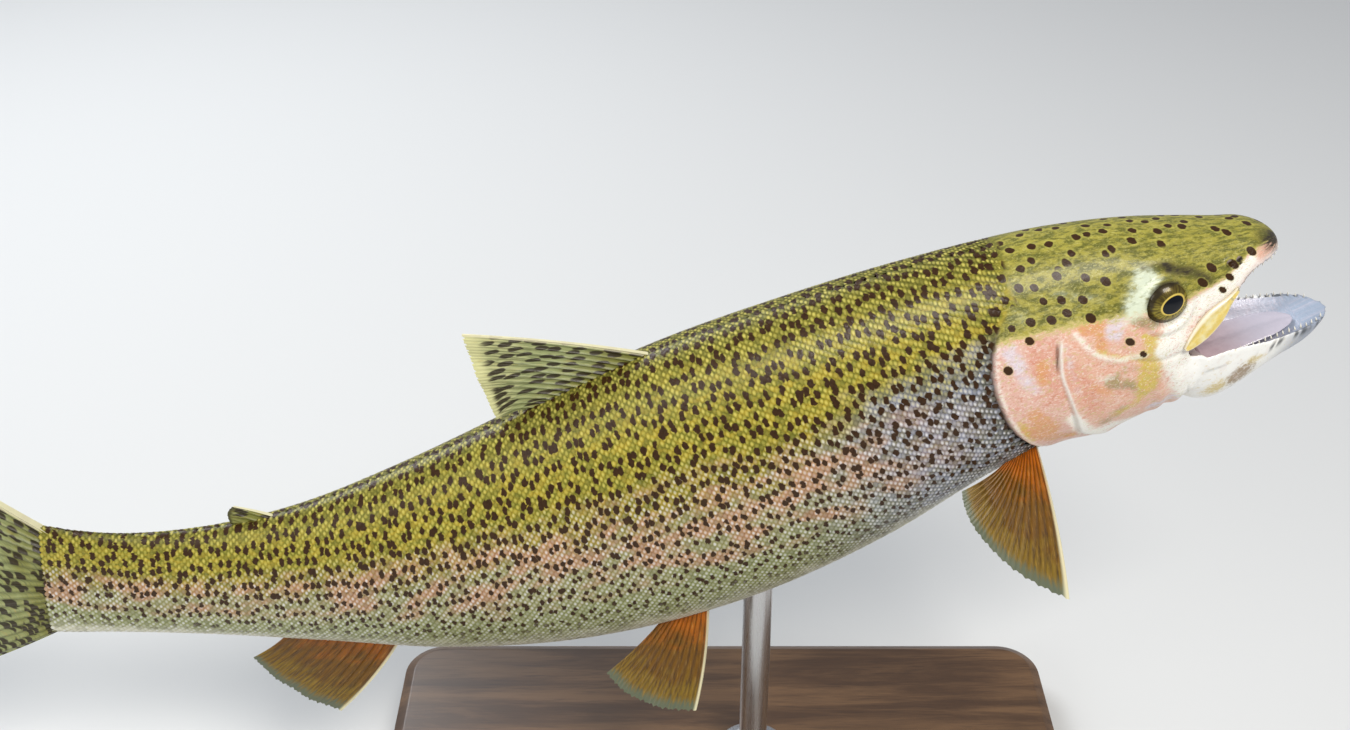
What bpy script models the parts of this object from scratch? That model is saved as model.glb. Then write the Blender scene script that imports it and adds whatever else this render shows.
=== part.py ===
"""A rainbow trout as a still, life-size model: mouth open, head raised, tail levelling out, on a stand.

The fish is drawn in its own coordinates, in millimetres: x runs back from the snout along the body,
y to the fish's left and z towards its back. place() lays those along the bent spine, in metres.
The fish swims along +X, its back is up (+Z), and the stand's base rests on z = 0.
"""
import math

import bmesh
import bpy
import numpy as np

# ---- driving dimensions (millimetres and degrees) ------------------------------------------------
MM = 0.001
BODY_LENGTH = 500.0                 # snout to the root of the tail fin
HEAD_END = 118.0                    # the head meets the trunk here, under the gill covers
TRUNK_SPLIT = 245.0                 # between the dorsal fin's first rays
STALK_START = 412.0                 # the narrow stalk behind the anal and adipose fins
SNOUT = (0.2644, 0.0190, 0.2687)   # world place of the snout's tip, in metres
HEAD_PITCH, PITCH_TURN, PITCH_POWER = 24.5, -31.0, 2.1
HEAD_YAW, YAW_TURN = 6.0, -6.0
BEND_START = 90.0                   # the skull is stiff, so the spine bends behind this point
NOSE = 13.0                         # length over which the snout rounds off
MOUTH_END = 46.0                    # corner of the mouth and its back wall
HINGE = (64.0, -31.0)               # jaw joint, x and z
GAPE = math.radians(28.0)
CHIN_DEPTH, TIP_DEPTH = 0.60, 0.60  # how much deeper than the closed profile the open jaw hangs
JAW_REACH = 7.0                     # the closed lower jaw stands this far before the snout
GAP = 0.3                           # between neighbouring pieces
EYE_AT, EYE_SIZE = (49.0, 19.6, 6.2), (9.0, 6.4, 8.8)
BASE_SIZE, BASE_CORNER = (0.300, 0.140, 0.018), 0.018
ROD_AT, ROD_RADIUS = 218.0, 0.006   # where along the fish the rod meets the belly
BASE_BEHIND = 0.012                 # the base reaches further back, under the fish's weight

# ---- outline of the body, as (x, value) stations ---------------------------------------------------
BACK_LINE = [(0, 9), (15, 14), (30, 21.4), (47, 29.6), (75, 40), (123, 50.8), (175, 57.5), (235, 59.5),
             (290, 52.5), (345, 42), (395, 32), (440, 26.5), (475, 25.5), (500, 28)]
BELLY_LINE = [(0, -11), (20, -22), (40, -37), (60, -48), (80, -48.5), (100, -42), (123, -43),
              (175, -54.5), (235, -61), (300, -57), (350, -46), (395, -33), (440, -25.5),
              (475, -25), (500, -27.5)]
HALF_WIDTH = [(0, 11.5), (15, 15.5), (30, 20), (47, 24), (75, 28.5), (110, 31), (160, 33.5), (215, 34),
              (280, 30), (345, 23), (400, 15), (450, 9), (485, 5.5), (500, 3.5)]
MIDDLE_LINE = [(0, -1), (30, -3), (60, -6), (123, -4), (235, -1), (350, 0.5), (500, 0)]
LIP_LINE = [(0, -3.5), (14, -6.5), (30, -11.5), (46, -17.5), (60, -23)]
LIP_ARCH = [(0, 0.6), (4, 2.3), (8, 4.3), (13, 5.9), (19, 5.4), (24, 3.6), (29, 1.2), (35, 0), (41, 0), (60, 0)]
PLATE_MIDDLE = [(21, 1), (26, -4), (30, -8), (36, -10.5), (42, -12), (48, -13.5)]
PLATE_WIDE = [(21, 3), (26, 7), (31, 16), (36, 18.5), (41, 15), (45, 9), (48, 4)]


def through(stations):
    """Smooth curve through (x, value) stations, held level beyond both ends."""
    xs, ys = np.array(stations, float).T
    step = np.diff(xs)
    slope = np.diff(ys) / step
    lean = np.empty(len(xs))
    lean[0], lean[-1] = slope[0], slope[-1]
    lean[1:-1] = (slope[:-1] * step[1:] + slope[1:] * step[:-1]) / (step[1:] + step[:-1])

    def curve(x):
        x = np.clip(x, xs[0], xs[-1])
        i = np.clip(np.searchsorted(xs, x, side="right") - 1, 0, len(xs) - 2)
        t = (x - xs[i]) / step[i]
        keep = (1 + 2 * t) * (1 - t) ** 2
        rise = step[i] * t * (1 - t) * (lean[i] * (1 - t) - lean[i + 1] * t)
        return keep * ys[i] + (1 - keep) * ys[i + 1] + rise

    return curve


BACK, BELLY, WIDTH, MIDDLE, LIP, ARCH, PLATE_AT, PLATE_SPAN = map(
    through, (BACK_LINE, BELLY_LINE, HALF_WIDTH, MIDDLE_LINE, LIP_LINE, LIP_ARCH, PLATE_MIDDLE, PLATE_WIDE))


def smooth(t):
    t = np.clip(t, 0.0, 1.0)
    return t * t * (3 - 2 * t)


# ---- the bent spine ----------------------------------------------------------------------------------
def make_spine():
    """Places and directions along the spine, one row for each millimetre back from the snout."""
    x = np.arange(0.0, 640.0)
    bend = np.clip((x - BEND_START) / (BODY_LENGTH - BEND_START), 0, 1.3)
    pitch = np.radians(HEAD_PITCH + PITCH_TURN * bend ** PITCH_POWER)
    yaw = np.radians(HEAD_YAW + YAW_TURN * bend ** 1.5)
    ahead = np.stack([np.cos(pitch) * np.cos(yaw), np.cos(pitch) * np.sin(yaw), np.sin(pitch)], 1)
    left = np.stack([-np.sin(yaw), np.cos(yaw), 0 * yaw], 1)
    up = np.cross(ahead, left)
    points = np.zeros_like(ahead)
    points[1:] = -np.cumsum((ahead[1:] + ahead[:-1]) / 2, axis=0)
    return x, points, ahead, left, up


SPINE = make_spine()


def place(p):
    """World points, in metres, of fish points (x, y, z)."""
    p = np.asarray(p, float)
    grid, points, ahead, left, up = SPINE
    x = np.clip(p[..., 0], 0, grid[-1])

    def read(table):
        return np.stack([np.interp(x, grid, table[:, k]) for k in range(3)], -1)

    before = (x - p[..., 0])[..., None] * ahead[0]
    out = read(points) + before + read(left) * p[..., 1:2] + read(up) * p[..., 2:3]
    return out * MM + np.array(SNOUT)


# ---- cross-sections ----------------------------------------------------------------------------------
def girth(x, turn, grow=0.0):
    """Half-width and height of the skin at x; turn is -90 at the belly, 0 at the side, 90 at the back."""
    round_off = np.sqrt(1 - (1 - np.clip(x / NOSE, 0, 1)) ** 2)
    middle = MIDDLE(x)
    sine, cosine = np.sin(np.radians(turn)), np.cos(np.radians(turn))
    high = (BACK(x) - middle) * round_off + grow
    low = (middle - BELLY(x)) * round_off + grow
    fullness = np.where(sine > 0, 1.0 - 0.12 * smooth(1 - x / 140), 0.9)
    half = (WIDTH(x) * round_off + grow) * np.abs(cosine) ** fullness
    return half, middle + np.where(sine > 0, high, low) * sine


def lip_turn(x):
    """The turn at which the section passes the lip line."""
    round_off = np.sqrt(1 - (1 - np.clip(x / NOSE, 0, 1)) ** 2)
    low = (MIDDLE(x) - BELLY(x)) * np.maximum(round_off, 0.05)
    return np.degrees(np.arcsin(np.clip((LIP(x) - MIDDLE(x)) / low, -0.95, -0.1)))


def upper_lip(x):
    """The turn of the upper jaw's edge, which arches up between the snout and the side plates."""
    round_off = np.sqrt(1 - (1 - np.clip(x / NOSE, 0, 1)) ** 2)
    up = LIP(x) + ARCH(x) - MIDDLE(x)
    reach = np.where(up > 0, BACK(x) - MIDDLE(x), MIDDLE(x) - BELLY(x)) * np.maximum(round_off, 0.05)
    return np.degrees(np.arcsin(np.clip(up / reach, -0.95, 0.5)))


def swing(p, share):
    """Turn fish points down about the jaw joint by a share of the gape."""
    angle = GAPE * share
    x, z = p[..., 0] - HINGE[0], p[..., 2] - HINGE[1]
    turned = p.copy()
    turned[..., 0] = HINGE[0] + x * np.cos(angle) - z * np.sin(angle)
    turned[..., 2] = HINGE[1] + x * np.sin(angle) + z * np.cos(angle)
    return turned


def throat_share(x, turn):
    """How far the skin behind the mouth follows the jaw: fully under the mouth, not at all at the gills."""
    return (1 - smooth((x - MOUTH_END) / 46)) * smooth((lip_turn(x) - turn) / 20)


# ---- making meshes --------------------------------------------------------------------------------------
def new_object(name, points, faces, colour, roughness, metallic=0.0, group="rainbow_trout"):
    mesh = bpy.data.meshes.new(name)
    mesh.from_pydata([tuple(p) for p in points], [], faces)
    bm = bmesh.new()
    bm.from_mesh(mesh)
    bmesh.ops.remove_doubles(bm, verts=bm.verts, dist=1e-6)
    bmesh.ops.recalc_face_normals(bm, faces=bm.faces)
    bm.to_mesh(mesh)
    bm.free()
    obj = bpy.data.objects.new(name, mesh)
    bpy.data.collections[group].objects.link(obj)
    finish(obj, colour, roughness, metallic)
    return obj


def finish(obj, colour, roughness, metallic=0.0):
    material = bpy.data.materials.new(obj.name)
    material.use_nodes = True
    shader = material.node_tree.nodes["Principled BSDF"]
    shader.inputs["Base Color"].default_value = (*colour, 1)
    shader.inputs["Roughness"].default_value = roughness
    shader.inputs["Metallic"].default_value = metallic
    obj.data.materials.clear()
    obj.data.materials.append(material)


def loft(name, rings, colour, roughness, group="rainbow_trout"):
    """A closed solid through rings of equally many fish points, its ends filled."""
    rows, around = len(rings), len(rings[0])
    points = place(np.array(rings).reshape(-1, 3))
    faces = []
    for row in range(rows - 1):
        for k in range(around):
            n = (k + 1) % around
            a, b = row * around, (row + 1) * around
            faces.append((a + k, a + n, b + n, b + k))
    faces.append(tuple(range(around))[::-1])
    faces.append(tuple(range((rows - 1) * around, rows * around)))
    return new_object(name, points, faces, colour, roughness, group=group)


def plate(name, outer, inner, colour, roughness, group="rainbow_trout"):
    """A closed plate between two equal grids of fish points."""
    rows, cols = outer.shape[:2]
    points = place(np.concatenate([outer.reshape(-1, 3), inner.reshape(-1, 3)]))
    count = rows * cols
    faces = []
    for r in range(rows - 1):
        for c in range(cols - 1):
            a, b, d, e = r * cols + c, r * cols + c + 1, (r + 1) * cols + c + 1, (r + 1) * cols + c
            faces.append((a, b, d, e))
            faces.append((count + e, count + d, count + b, count + a))
    rim = [c for c in range(cols)]
    rim += [r * cols + cols - 1 for r in range(1, rows)]
    rim += [(rows - 1) * cols + c for c in range(cols - 2, -1, -1)]
    rim += [r * cols for r in range(rows - 2, 0, -1)]
    for k, a in enumerate(rim):
        b = rim[(k + 1) % len(rim)]
        faces.append((b, a, count + a, count + b))
    return new_object(name, points, faces, colour, roughness, group=group)


def cut(obj, cutter):
    """Take a cutter's volume out of a piece."""
    step = obj.modifiers.new("cut_" + cutter.name, "BOOLEAN")
    step.operation = "DIFFERENCE"
    step.solver = "EXACT"
    step.object = cutter
    cutter.display_type = "WIRE"
    cutter.hide_render = True


# ---- flesh ------------------------------------------------------------------------------------------------
OLIVE, SILVER, PINK, CREAM = (0.24, 0.23, 0.07), (0.42, 0.42, 0.36), (0.72, 0.34, 0.27), (0.75, 0.70, 0.55)
AMBER, PALE_FIN = (0.52, 0.24, 0.06), (0.46, 0.42, 0.20)
AROUND = 32
TURNS = np.linspace(-90, 90, AROUND // 2 + 1)


def body_ring(x, grow=0.0):
    """Closed ring of the whole section, right side up and left side down."""
    half, height = girth(x, TURNS, grow)
    right = np.stack([np.full_like(half, x), -half, height], 1)
    left = np.stack([np.full_like(half, x), half, height], 1)[::-1]
    return np.concatenate([right, left[1:-1]])


def body_length(name, start, end, step, colour, grow=0.0, group="rainbow_trout"):
    count = max(2, int(round((end - start) / step)) + 1)
    rings = [body_ring(x, grow) for x in np.linspace(start, end, count)]
    return loft(name, rings, colour, 0.35, group)


def head_ring(x, in_mouth):
    """Over the head from lip to lip, then back along the palate or, behind the mouth, the throat."""
    lip = float(upper_lip(x) if in_mouth else lip_turn(x))
    upper = np.linspace(lip, 90, 14)
    half, height = girth(x, upper)
    right = np.stack([np.full(14, x), -half, height], 1)
    left = (right * (1, -1, 1))[::-1]
    side = np.linspace(1, -1, 15)[1:-1]
    if in_mouth:
        wall = 1.5 + 1.5 * min(x / 40, 1)
        inside = max(half[0] - wall, half[0] * 0.4)
        arch = 0.42 * (BACK(x) - height[0]) * smooth(x / 30)
        roof = height[0] + arch * np.sqrt(np.clip(1 - side ** 2, 0, 1))
        below = np.stack([np.full(13, x), side * inside, roof], 1)
    else:
        share = np.abs(side)
        turns = lip - (90 + lip) * (1 - share)
        wide, low = girth(x, turns)
        below = np.stack([np.full(13, x), wide * np.sign(side), low], 1)
        below = swing(below, throat_share(x, turns))
    return np.concatenate([right, left[1:], below])


def make_head():
    front = NOSE * (1 - np.cos(np.linspace(0.12, math.pi / 2, 5)))
    in_mouth = np.concatenate([front, np.linspace(NOSE, MOUTH_END, 9)[1:]])
    behind = np.linspace(MOUTH_END + GAP, HEAD_END, 10)
    rings = [head_ring(x, True) for x in in_mouth] + [head_ring(x, False) for x in behind]
    return loft("head", rings, OLIVE, 0.3)


def jaw_ring(t):
    """The lower jaw at t from its tip, 0, to the back of the mouth, 1: a trough with raised lips."""
    at = max(t * MOUTH_END, 0.6)
    x = -JAW_REACH + t * (MOUTH_END + JAW_REACH - GAP)
    lip = float(lip_turn(at))
    turns = np.linspace(lip, -90, 11)
    half, height = girth(at, turns)
    half = half * 0.96
    drop, chin = height[0] - height[-1], math.sin(math.pi * t ** 1.3)
    height = height[0] + (height - height[0]) * (1 + CHIN_DEPTH * chin + TIP_DEPTH * math.exp(-(t / 0.18) ** 2))
    right = np.stack([np.full(11, x), -half, height], 1)
    left = (right * (1, -1, 1))[::-1]
    side = np.linspace(1, -1, 13)[1:-1]
    thick = 1.6 + 1.6 * t
    inside = max(half[0] - thick, half[0] * 0.5)
    depth = drop * (1 + 0.3 * chin) * (0.22 + 0.3 * smooth(t / 0.4))
    floor = height[0] - depth * (1 - side ** 4) ** 0.5
    below = np.stack([np.full(11, x), side * inside, floor], 1)
    return swing(np.concatenate([right, left[1:], below]), 1.0)


def make_lower_jaw():
    round_tip = 0.16 * (1 - np.cos(np.linspace(0.12, math.pi / 2, 5)))
    steps = np.concatenate([round_tip, np.linspace(0.16, 1, 10)[1:]])
    return loft("lower_jaw", [jaw_ring(t) for t in steps], CREAM, 0.4)


def make_tongue():
    """A flat tongue along the floor of the lower jaw, its tip free."""
    rings = []
    for t in np.linspace(0, 1, 9):
        at = 0.24 + 0.68 * t
        lip = float(lip_turn(at * MOUTH_END))
        half, height = girth(at * MOUTH_END, np.array([lip, -90.0]))
        depth = (height[0] - height[1]) * (0.22 + 0.3 * smooth(at / 0.4))
        wide = half[0] * 0.52 * math.sqrt(1 - (1 - min(t / 0.35 + 0.04, 1)) ** 2)
        base = height[0] - depth * 0.86
        x = -JAW_REACH + at * (MOUTH_END + JAW_REACH - GAP)
        angle = np.linspace(0, 2 * math.pi, 14, endpoint=False)
        thick = 1.3 + 1.6 * t
        ring = np.stack([np.full(14, x), wide * np.cos(angle), base + thick * (1 + 0.9 * np.sin(angle))], 1)
        rings.append(swing(ring, 1.0))
    return loft("tongue", rings, (0.70, 0.48, 0.46), 0.35)


def side_patch(side, xs, turns, grow):
    """Grid of points on the flank (side -1 is the right) at x and turn grids, grown out from the skin."""
    half, height = girth(xs, turns, grow)
    share = np.where(xs > MOUTH_END, throat_share(xs, turns), 0.0)
    return swing(np.stack([xs, side * half, height], -1), share)


def gill_cover_grid(margin=0.0):
    """x and turn over the gill cover, from its front line to its round rear edge."""
    turn = np.linspace(-68 - margin * 1.5, 44 + margin * 1.5, 11)[:, None]
    t = np.linspace(0, 1, 7)[None, :]
    front = 85 - 11 * smooth((-turn - 5) / 60) - margin
    rear = 117.5 - 20 * np.abs((turn - 5) / np.where(turn > 5, 44, 74)) ** 2.1 + margin
    return front + (rear - front) * t, turn + 0 * t


def make_gill_cover(name, side, head):
    xs, turns = gill_cover_grid()
    edge = smooth(np.linspace(0, 1, 7) / 0.2)[None, :]
    outer = side_patch(side, xs, turns, 0.9 * edge)
    cover = plate(name, outer, side_patch(side, xs, turns, -2.0), PINK, 0.3)
    xs, turns = gill_cover_grid(GAP)
    slot = plate(name + "_slot", side_patch(side, xs, turns, 6.0), side_patch(side, xs, turns, -2.0 - GAP),
                 PINK, 0.3, "cutters")
    cut(head, slot)
    return cover


def maxilla_grid():
    """x and turn over the upper jaw's side plate, along the lip and past the corner of the mouth."""
    x = np.linspace(22, 48, 9)[None, :]
    t = np.linspace(0, 1, 5)[:, None]
    return x + 0 * t, PLATE_AT(x) + (t - 0.5) * PLATE_SPAN(x)


def make_maxilla(name, side):
    xs, turns = maxilla_grid()
    thick = 1.5 * np.sin(np.linspace(0.25, math.pi - 0.25, 5))[:, None]
    return plate(name, side_patch(side, xs, turns, GAP + 0.15 + thick), side_patch(side, xs, turns, GAP + 0.15),
                 (0.72, 0.62, 0.36), 0.3)


def make_eye(name, side, head):
    """An eyeball a little flatter than a sphere, and the socket it leaves in the head."""
    x, y, z = EYE_AT
    for label, grow, group in ((name, 0.0, "rainbow_trout"), (name + "_socket", GAP, "cutters")):
        across, deep = np.meshgrid(np.linspace(0, 2 * math.pi, 19)[:-1], np.linspace(0, math.pi, 11)[1:-1])
        radius = np.sin(deep)
        shell = np.stack([x + (EYE_SIZE[0] + grow) * radius * np.cos(across),
                          side * (y + (EYE_SIZE[1] + grow) * np.cos(deep)),
                          z + (EYE_SIZE[2] + grow) * radius * np.sin(across)], -1)
        ball = loft(label, list(shell), (0.45, 0.36, 0.10), 0.1, group)
    cut(head, ball)


# ---- fins ---------------------------------------------------------------------------------------------------
def fin(name, roots, rays, bulge, bend, thick, colour, body, count=(9, 6)):
    """A fan of rays: roots and rays are its first and last, bulge lengthens the middle ones."""
    across, along = count
    u = np.linspace(0, 1, across)[:, None, None]
    v = np.linspace(0, 1, along)[None, :, None]
    roots, rays, bend = np.array(roots, float), np.array(rays, float), np.array(bend, float)
    lengths = np.linalg.norm(rays, axis=1)
    heading = rays[0] * (1 - u) / lengths[0] + rays[1] * u / lengths[1]
    heading = heading / np.linalg.norm(heading, axis=2, keepdims=True)
    length = lengths[0] * (1 - u) + lengths[1] * u + bulge * np.sin(math.pi * u)
    grid = roots[0] * (1 - u) + roots[1] * u + heading * length * v + bend * v ** 2
    normal = np.cross(roots[1] - roots[0], rays[0] + rays[1])
    normal = normal / np.linalg.norm(normal)
    half = 0.5 * (thick[0] * (1 - v) + thick[1] * v) * (0.55 + 0.45 * np.sin(math.pi * (0.08 + 0.84 * u)))
    obj = plate(name, grid + normal * half, grid - normal * half, colour, 0.4)
    cut(obj, body)
    return obj


def make_fins(body):
    fin("dorsal_fin", [(230, 0, 59), (281, 0, 52)], [(62, 0, 41), (12, 0, 8)], 1, (5, 0, -7),
        (3.0, 0.9), PALE_FIN, body)
    fin("adipose_fin", [(399, 0, 29), (412, 0, 26.5)], [(15, 0, 9), (5, 0, 3)], 2, (3, 0, -1),
        (3.0, 1.2), OLIVE, body, (6, 4))
    fin("anal_fin", [(366, 0, -37), (408, 0, -27)], [(30, 0, -42), (14, 0, -17)], 3, (5, 0, 2),
        (2.6, 0.9), AMBER, body)
    fin("caudal_fin", [(493, 0, 23), (493, 0, -23)], [(70, 0, 45), (66, 0, -50)], -15, (3, 0, -5),
        (5.0, 1.0), PALE_FIN, body, (13, 6))
    for name, side in (("right", -1), ("left", 1)):
        fin("pectoral_fin_" + name, [(110, side * 22, -30), (121, side * 21, -32)],
            [(7, side * 33, -55), (16.5, side * 8, -5)], -3.5, (5, 0, 5), (3.2, 0.9), AMBER, body)
        fin("pelvic_fin_" + name, [(249, side * 13, -52), (264, side * 9, -53)],
            [(15, side * 18, -42), (28, side * 8, -20)], 3, (4, 0, 3), (2.8, 0.9), AMBER, body)


# ---- the stand -----------------------------------------------------------------------------------------------
def make_stand(body):
    bpy.ops.mesh.primitive_cube_add(size=1, location=(ROD_FOOT[0] - BASE_BEHIND, ROD_FOOT[1], BASE_SIZE[2] / 2))
    base = bpy.context.object
    base.name = "stand_base"
    base.scale = BASE_SIZE
    bpy.ops.object.transform_apply(location=False, rotation=False, scale=True)
    corners = base.modifiers.new("corners", "BEVEL")
    corners.affect = "EDGES"
    corners.limit_method = "WEIGHT"
    corners.width = BASE_CORNER
    corners.segments = 5
    weights = base.data.attributes.new("bevel_weight_edge", "FLOAT", "EDGE")
    for edge in base.data.edges:
        a, b = (base.data.vertices[k].co for k in edge.vertices)
        weights.data[edge.index].value = 1.0 if abs(a.z - b.z) > 0.001 else 0.0
    rim = base.modifiers.new("rim", "BEVEL")
    rim.limit_method = "ANGLE"
    rim.angle_limit = math.radians(60)
    rim.width = 0.0015
    rim.segments = 2
    finish(base, (0.10, 0.055, 0.03), 0.35)

    foot = BASE_SIZE[2] + GAP * MM
    top = ROD_FOOT[2]
    bpy.ops.mesh.primitive_cylinder_add(vertices=24, radius=ROD_RADIUS, depth=top - foot,
                                        location=(ROD_FOOT[0], ROD_FOOT[1], (top + foot) / 2))
    rod = bpy.context.object
    rod.name = "stand_rod"
    finish(rod, (0.75, 0.75, 0.76), 0.25, 1.0)
    cut(rod, body)
    for obj in (base, rod):
        for collection in list(obj.users_collection):
            collection.objects.unlink(obj)
        bpy.data.collections["rainbow_trout"].objects.link(obj)


ROD_FOOT = place((ROD_AT, 0.0, -30.0))


def main():
    for obj in list(bpy.data.objects):
        bpy.data.objects.remove(obj, do_unlink=True)
    for name in ("rainbow_trout", "cutters"):
        bpy.context.scene.collection.children.link(bpy.data.collections.new(name))

    head = make_head()
    make_lower_jaw()
    make_tongue()
    body_length("trunk_front", HEAD_END + GAP, TRUNK_SPLIT, 14.0, OLIVE)
    body_length("trunk_rear", TRUNK_SPLIT + GAP, STALK_START, 15.0, SILVER)
    body_length("tail_stalk", STALK_START + GAP, BODY_LENGTH, 12.0, OLIVE)
    for name, side in (("right", -1), ("left", 1)):
        make_gill_cover("gill_cover_" + name, side, head)
        make_maxilla("maxilla_" + name, side)
        make_eye("eye_" + name, side, head)
    body = body_length("body_clearance", 96.0, BODY_LENGTH + GAP, 8.0, OLIVE, GAP + 0.1, "cutters")
    make_fins(body)
    make_stand(body)


main()
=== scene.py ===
"""A rainbow trout as a life-size display model: one skin, scales, fins, eyes, teeth and a plain stand.

The fish is shaped in its own coordinates, in millimetres: x runs back from the snout along the body,
y to the fish's left, z towards its back. place() lays them along the bent spine, in metres.
A turn is a place round the body's section: -90 at the belly, 0 at the side and 90 at the back.
"""
import math

import bmesh
import bpy
import numpy as np
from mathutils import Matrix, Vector


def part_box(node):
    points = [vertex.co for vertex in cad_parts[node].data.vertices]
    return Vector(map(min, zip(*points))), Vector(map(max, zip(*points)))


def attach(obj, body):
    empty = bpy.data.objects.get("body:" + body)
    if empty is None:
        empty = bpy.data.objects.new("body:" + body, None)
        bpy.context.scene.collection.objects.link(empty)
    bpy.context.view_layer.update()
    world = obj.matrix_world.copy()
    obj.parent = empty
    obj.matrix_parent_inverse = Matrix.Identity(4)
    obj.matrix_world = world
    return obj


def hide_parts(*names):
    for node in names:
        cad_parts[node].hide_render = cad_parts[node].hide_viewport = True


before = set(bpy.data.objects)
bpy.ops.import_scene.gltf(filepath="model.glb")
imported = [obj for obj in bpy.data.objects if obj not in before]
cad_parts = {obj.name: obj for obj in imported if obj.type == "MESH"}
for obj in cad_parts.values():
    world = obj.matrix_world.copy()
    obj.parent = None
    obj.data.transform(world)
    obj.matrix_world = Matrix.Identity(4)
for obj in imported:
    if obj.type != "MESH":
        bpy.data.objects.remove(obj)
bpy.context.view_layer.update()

bpy.ops.object.select_all(action="DESELECT")

# ---- sizes shared with the solids (millimetres and degrees) ----
MM = 0.001
BODY_LENGTH = 500.0
SNOUT = (0.2644, 0.0190, 0.2687)
HEAD_PITCH, PITCH_TURN, PITCH_POWER = 24.5, -31.0, 2.1
HEAD_YAW, YAW_TURN = 6.0, -6.0
BEND_START = 90.0
NOSE = 13.0
MOUTH_END = 46.0                        # x of the corner of the mouth
HINGE = (64.0, -31.0)                   # x and z of the jaw's joint
GAPE = math.radians(28.0)
CHIN_DEPTH, TIP_DEPTH = 0.60, 0.60
JAW_REACH = 7.0
JAW_WIDTH = 0.96                        # the jaw's width as a share of the closed mouth's
EYE_AT, EYE_SIZE = (49.0, 19.6, 6.2), (9.0, 6.4, 8.8)
NOSTRILS = ((18.4, 6.2), (22.2, 7.2))   # x and z of the two pits on each side
SIDES = (("right", -1), ("left", 1))

BACK_LINE = [(0, 9), (15, 14), (30, 21.4), (47, 29.6), (75, 40), (123, 50.8), (175, 57.5), (235, 59.5),
             (290, 52.5), (345, 42), (395, 32), (440, 26.5), (475, 25.5), (500, 28)]
BELLY_LINE = [(0, -11), (20, -22), (40, -37), (60, -48), (80, -48.5), (100, -42), (123, -43),
              (175, -54.5), (235, -61), (300, -57), (350, -46), (395, -33), (440, -25.5),
              (475, -25), (500, -27.5)]
HALF_WIDTH = [(0, 11.5), (15, 15.5), (30, 20), (47, 24), (75, 28.5), (110, 31), (160, 33.5), (215, 34),
              (280, 30), (345, 23), (400, 15), (450, 9), (485, 5.5), (500, 3.5)]
MIDDLE_LINE = [(0, -1), (30, -3), (60, -6), (123, -4), (235, -1), (350, 0.5), (500, 0)]
LIP_LINE = [(0, -3.5), (14, -6.5), (30, -11.5), (46, -17.5), (60, -23)]
LIP_ARCH = [(0, 0.6), (4, 2.3), (8, 4.3), (13, 5.9), (19, 5.4), (24, 3.6), (29, 1.2), (35, 0), (41, 0),
            (60, 0)]
PLATE_MIDDLE = [(21, 1), (26, -4), (30, -8), (36, -10.5), (42, -12), (48, -13.5)]
PLATE_WIDE = [(21, 3), (26, 7), (31, 16), (36, 18.5), (41, 15), (45, 9), (48, 4)]

# ---- coat and skin ----
SKIN_VOXEL = 0.72
TRUNK_SHARE, TRUNK_START = 0.20, 121    # the share of faces kept behind this x, where scales cover the skin
COAT_DEPTH = 0.55                       # the skin lies this far under the solids' surface below the scales
SCALES_FROM = 96.0                      # x of the first column of scales
SCALE_PITCH, ROW_PITCH = 2.7, 1.4       # along the body, and between staggered rows
ROWS_EACH_WAY = 62                      # rows above and below the lateral line
BELLY_ROW, BELLY_SCALES_START = 99, 104.0
PATTERN_END = 520                       # x at which the patterns and the bake map end
CROWN_TURN, THROAT_TURN = 46, -66       # scales start behind the head above and below these turns


def through(stations):
    """Smooth curve through (x, value) stations, held level beyond both ends."""
    xs, ys = np.array(stations, float).T
    step = np.diff(xs)
    slope = np.diff(ys) / step
    lean = np.empty(len(xs))
    lean[0], lean[-1] = slope[0], slope[-1]
    lean[1:-1] = (slope[:-1] * step[1:] + slope[1:] * step[:-1]) / (step[1:] + step[:-1])

    def curve(x):
        x = np.clip(x, xs[0], xs[-1])
        i = np.clip(np.searchsorted(xs, x, side="right") - 1, 0, len(xs) - 2)
        t = (x - xs[i]) / step[i]
        keep = (1 + 2 * t) * (1 - t) ** 2
        rise = step[i] * t * (1 - t) * (lean[i] * (1 - t) - lean[i + 1] * t)
        return keep * ys[i] + (1 - keep) * ys[i + 1] + rise

    return curve


BACK, BELLY, WIDTH, MIDDLE, LIP, ARCH, PLATE_AT, PLATE_SPAN = map(
    through, (BACK_LINE, BELLY_LINE, HALF_WIDTH, MIDDLE_LINE, LIP_LINE, LIP_ARCH, PLATE_MIDDLE, PLATE_WIDE))


def smooth(t):
    """0 up to 0, 1 from 1 on, smooth between."""
    t = np.clip(t, 0.0, 1.0)
    return t * t * (3 - 2 * t)


def between(value, low, rise, high, fall):
    """0 outside low to high, with a smooth rise after low and a smooth fall before high."""
    return smooth((value - low) / rise) * smooth((high - value) / fall)


def ridge(off, width):
    """A soft ridge: 1 where off is 0, falling away to both sides."""
    return np.exp(-(off / width) ** 2)


def unit(vector):
    return vector / np.linalg.norm(vector, axis=-1, keepdims=True)


# ---- the bent spine ----
def make_spine():
    x = np.arange(0.0, 640.0)
    bend = np.clip((x - BEND_START) / (BODY_LENGTH - BEND_START), 0, 1.3)
    pitch = np.radians(HEAD_PITCH + PITCH_TURN * bend ** PITCH_POWER)
    yaw = np.radians(HEAD_YAW + YAW_TURN * bend ** 1.5)
    ahead = np.stack([np.cos(pitch) * np.cos(yaw), np.cos(pitch) * np.sin(yaw), np.sin(pitch)], 1)
    left = np.stack([-np.sin(yaw), np.cos(yaw), 0 * yaw], 1)
    up = np.cross(ahead, left)
    points = np.zeros_like(ahead)
    points[1:] = -np.cumsum((ahead[1:] + ahead[:-1]) / 2, axis=0)
    return x, points, ahead, left, up


SPINE = make_spine()


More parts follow.
